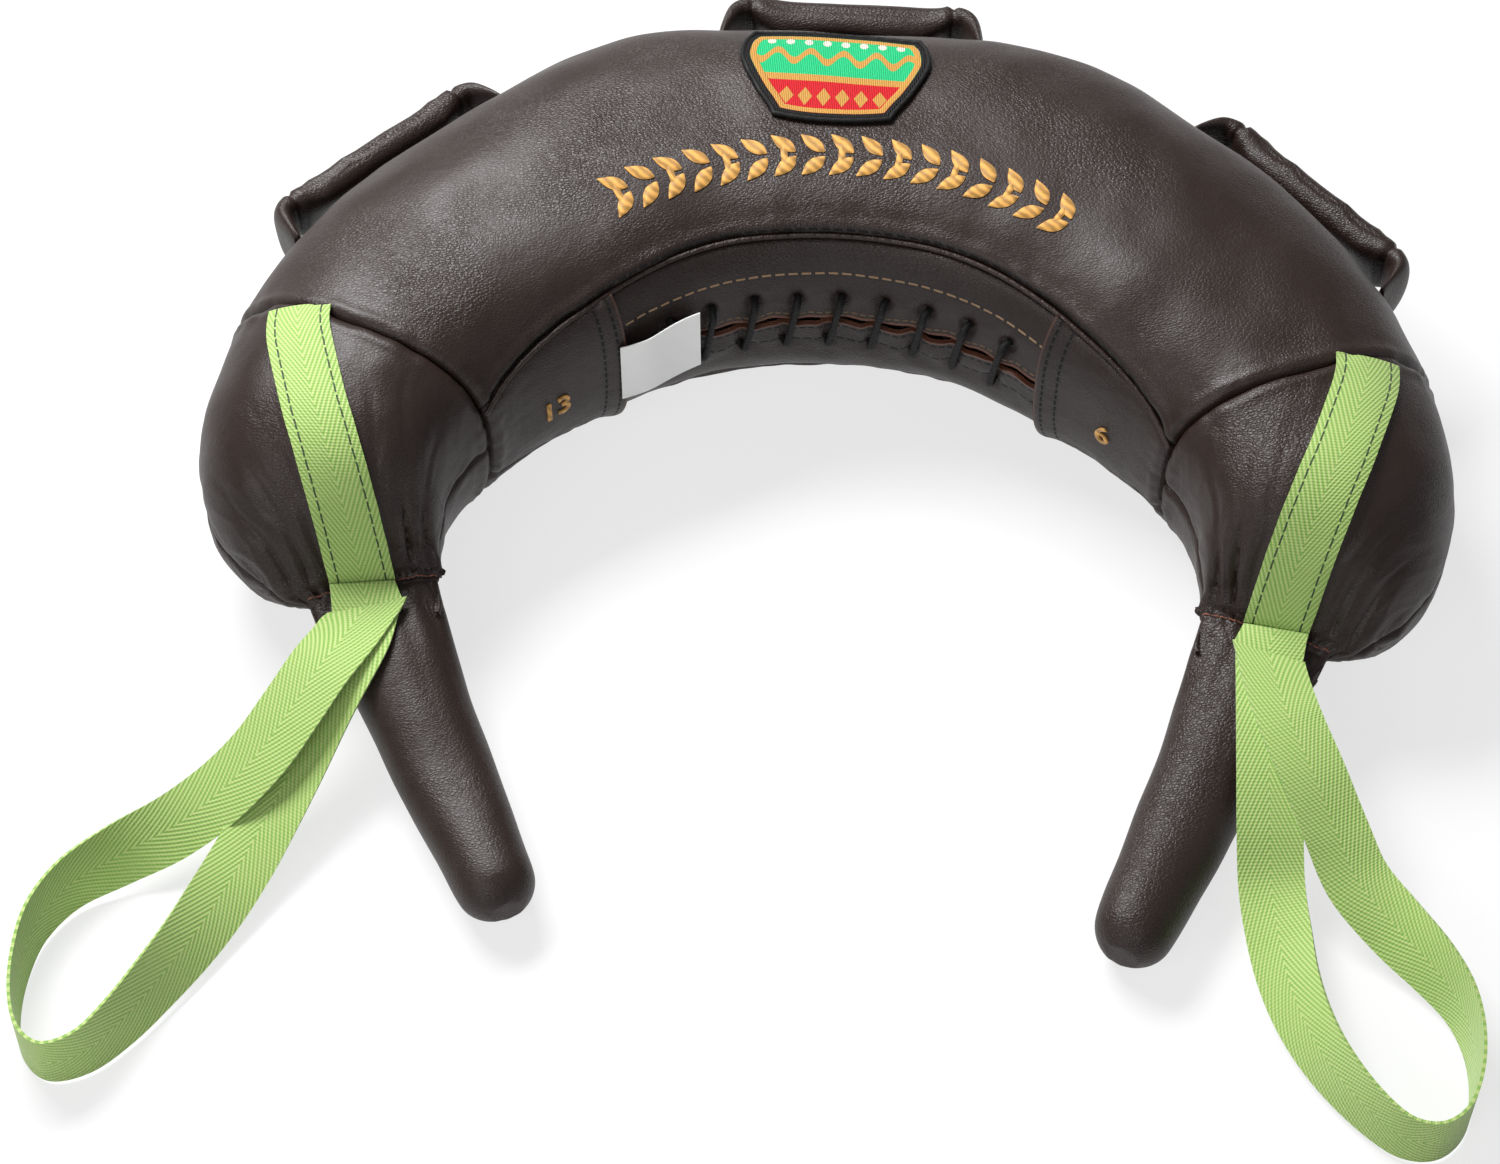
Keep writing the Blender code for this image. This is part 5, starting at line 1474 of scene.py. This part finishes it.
class BAG_OT_filling(BagOperator, bpy.types.Operator):
    """Gives the wadding, the sand sacks and the grips' foam their finish"""

    bl_idname = "bag.filling"
    bl_label = "Filling"

    def execute(self, context):
        wool = filling_look("wool wadding", (0.72, 0.68, 0.60), 4 * MM)
        sack = filling_look("sand sacking", (0.52, 0.44, 0.30), 1.5 * MM)
        foam = filling_look("foam", (0.78, 0.74, 0.55), 1 * MM)
        for name in list(frame["nodes"]):
            number = name[-1]
            if name.startswith("wadding"):
                self.soft_copy(name, f"wool_{number}", wool, "bag", "wadding", 3.6 * MM)
            elif name.startswith("sand_sack"):
                self.soft_copy(name, f"sack_{number}", sack, "bag", "sacking", 0.4 * MM)
            elif name.endswith("stuffing"):
                side = name.split("_")[0]
                self.soft_copy(name, f"{side}_grip_foam", foam, f"{side}_tail", "foam", 2.2 * MM)
        return {"FINISHED"}

    def soft_copy(self, name, new_name, look, body, slot, shrink):
        """A softer copy of a filling, drawn in from the leather, with small lumps."""
        obj = copy_node(name, new_name, 1)
        places, normals = vertex_places(obj), vertex_normals(obj)
        depth = shrink + 0.8 * MM * (lumps(places, 12 * MM, 5.9) + 0.6)
        if body == "bag":
            line = core_line(np.linspace(-LAST_STATION, LAST_STATION, 241))
            nearest = np.linalg.norm(places[:, None] - line[None], axis=-1).argmin(axis=1)
            depth = np.where((normals * (places - line[nearest])).sum(axis=1) > 0, depth, 0)
        set_places(obj, places - normals * depth[:, None])
        smooth(obj)
        dress(obj, look, body, [name])


class BAG_OT_stage(BagOperator, bpy.types.Operator):
    """Sets the pale floor, the soft lamps and the camera"""

    bl_idname = "bag.stage"
    bl_label = "Stage"

    def execute(self, context):
        scene = context.scene
        scene.view_settings.view_transform = "Standard"
        deselect()
        bpy.ops.mesh.primitive_plane_add(size=14, location=(0, 0, 0))
        floor = context.active_object
        floor.name = "floor"
        look = Look("white floor", 0.9)
        look.feed(Base_Color=(0.83, 0.83, 0.83, 1))
        seen = look.node("ShaderNodeEmission", None, {"Color": (1, 1, 1, 1), "Strength": 1.0})
        shader = Value(look, look.nodes["Principled BSDF"].outputs[0])
        look.white_to_rays(shader, seen, FLOOR_SHARE, 1.0, "Material Output")
        floor.data.materials.append(look.material)
        self.world(scene)
        self.lamps()
        self.camera(scene)
        return {"FINISHED"}

    def world(self, scene):
        scene.world = bpy.data.worlds.new("studio")
        scene.world.use_nodes = True
        tree = Nodes(scene.world.node_tree)
        background = tree.nodes["Background"]
        tree.put(background.inputs["Color"], (0.93, 0.95, 1.0, 1))
        tree.put(background.inputs["Strength"], 0.12)
        white = tree.node("ShaderNodeBackground", None, {"Color": (1, 1, 1, 1), "Strength": 1.0})
        tree.white_to_rays(Value(tree, background.outputs[0]), white, 1.0, GLOSSY_SHARE, "World Output")

    def lamps(self):
        lamps = (
            ("key", (-0.66, 0.86, 1.42), 1.0, 0.5, 54),
            ("fill", (1.3, -0.3, 1.3), 0.9, 0.9, 1.5),
            ("front", (-0.7, -1.5, 1.2), 1.8, 0.8, 16),
        )
        for name, place, width, height, energy in lamps:
            data = bpy.data.lights.new(name, "AREA")
            data.shape = "RECTANGLE"
            data.size, data.size_y, data.energy = width, height, energy
            lamp = bpy.data.objects.new(name, data)
            bpy.context.scene.collection.objects.link(lamp)
            lamp.location = place
            lamp.rotation_euler = (Vector((0, 0, 0.06)) - Vector(place)).to_track_quat("-Z", "Y").to_euler()

    def camera(self, scene):
        """The photograph's view: 56 degrees above the floor, from a little to the left, 1.75 m away."""
        turn, rise, away = math.radians(3.5), math.radians(56), 1.75
        ahead = Vector((-math.sin(turn) * math.cos(rise), math.cos(turn) * math.cos(rise), -math.sin(rise)))
        right = Vector((math.cos(turn), math.sin(turn), 0))
        up = right.cross(ahead)
        pixel = 0.46 * MM
        # A known place, 87 pixels to the right of the photograph's middle and 14 under it
        known = Vector((0.009, -0.013, 0.066)) + Vector(SHIFT)
        target = known - right * (87 * pixel) + up * (14 * pixel)
        data = bpy.data.cameras.new("photograph")
        data.sensor_width = 36
        data.sensor_fit = "HORIZONTAL"
        data.lens = 91.3
        data.clip_start, data.clip_end = 0.05, 30
        camera = bpy.data.objects.new("photograph", data)
        scene.collection.objects.link(camera)
        turned = Matrix((right, up, -ahead)).transposed().to_4x4()
        camera.matrix_world = Matrix.Translation(target - ahead * away) @ turned
        scene.camera = camera


STEPS = (
    BAG_OT_stage,
    BAG_OT_leather_body,
    BAG_OT_closure,
    BAG_OT_handles,
    BAG_OT_grips,
    BAG_OT_chokes,
    BAG_OT_straps,
    BAG_OT_badge,
    BAG_OT_trim,
    BAG_OT_filling,
)


class BAG_PT_pieces(bpy.types.Panel):
    """Lists the bag's pieces in the sidebar"""

    bl_label = "Bulgarian bag"
    bl_idname = "BAG_PT_pieces"
    bl_space_type = "VIEW_3D"
    bl_region_type = "UI"
    bl_category = "Bag"

    def draw(self, context):
        for step in STEPS:
            self.layout.operator(step.bl_idname)
        for group in (context.scene.bag_sizes, context.scene.bag_colours):
            for key in group.__annotations__:
                self.layout.prop(group, key)


CLASSES = (BagSizes, BagColours, *STEPS, BAG_PT_pieces)


def register():
    for item in CLASSES:
        bpy.utils.register_class(item)
    bpy.types.Scene.bag_sizes = PointerProperty(type=BagSizes)
    bpy.types.Scene.bag_colours = PointerProperty(type=BagColours)


def unregister():
    del bpy.types.Scene.bag_colours
    del bpy.types.Scene.bag_sizes
    for item in reversed(CLASSES):
        bpy.utils.unregister_class(item)


def main():
    register()
    for step in STEPS:
        group, name = step.bl_idname.split(".")
        getattr(getattr(bpy.ops, group), name)()


if __name__ == "__main__":
    main()
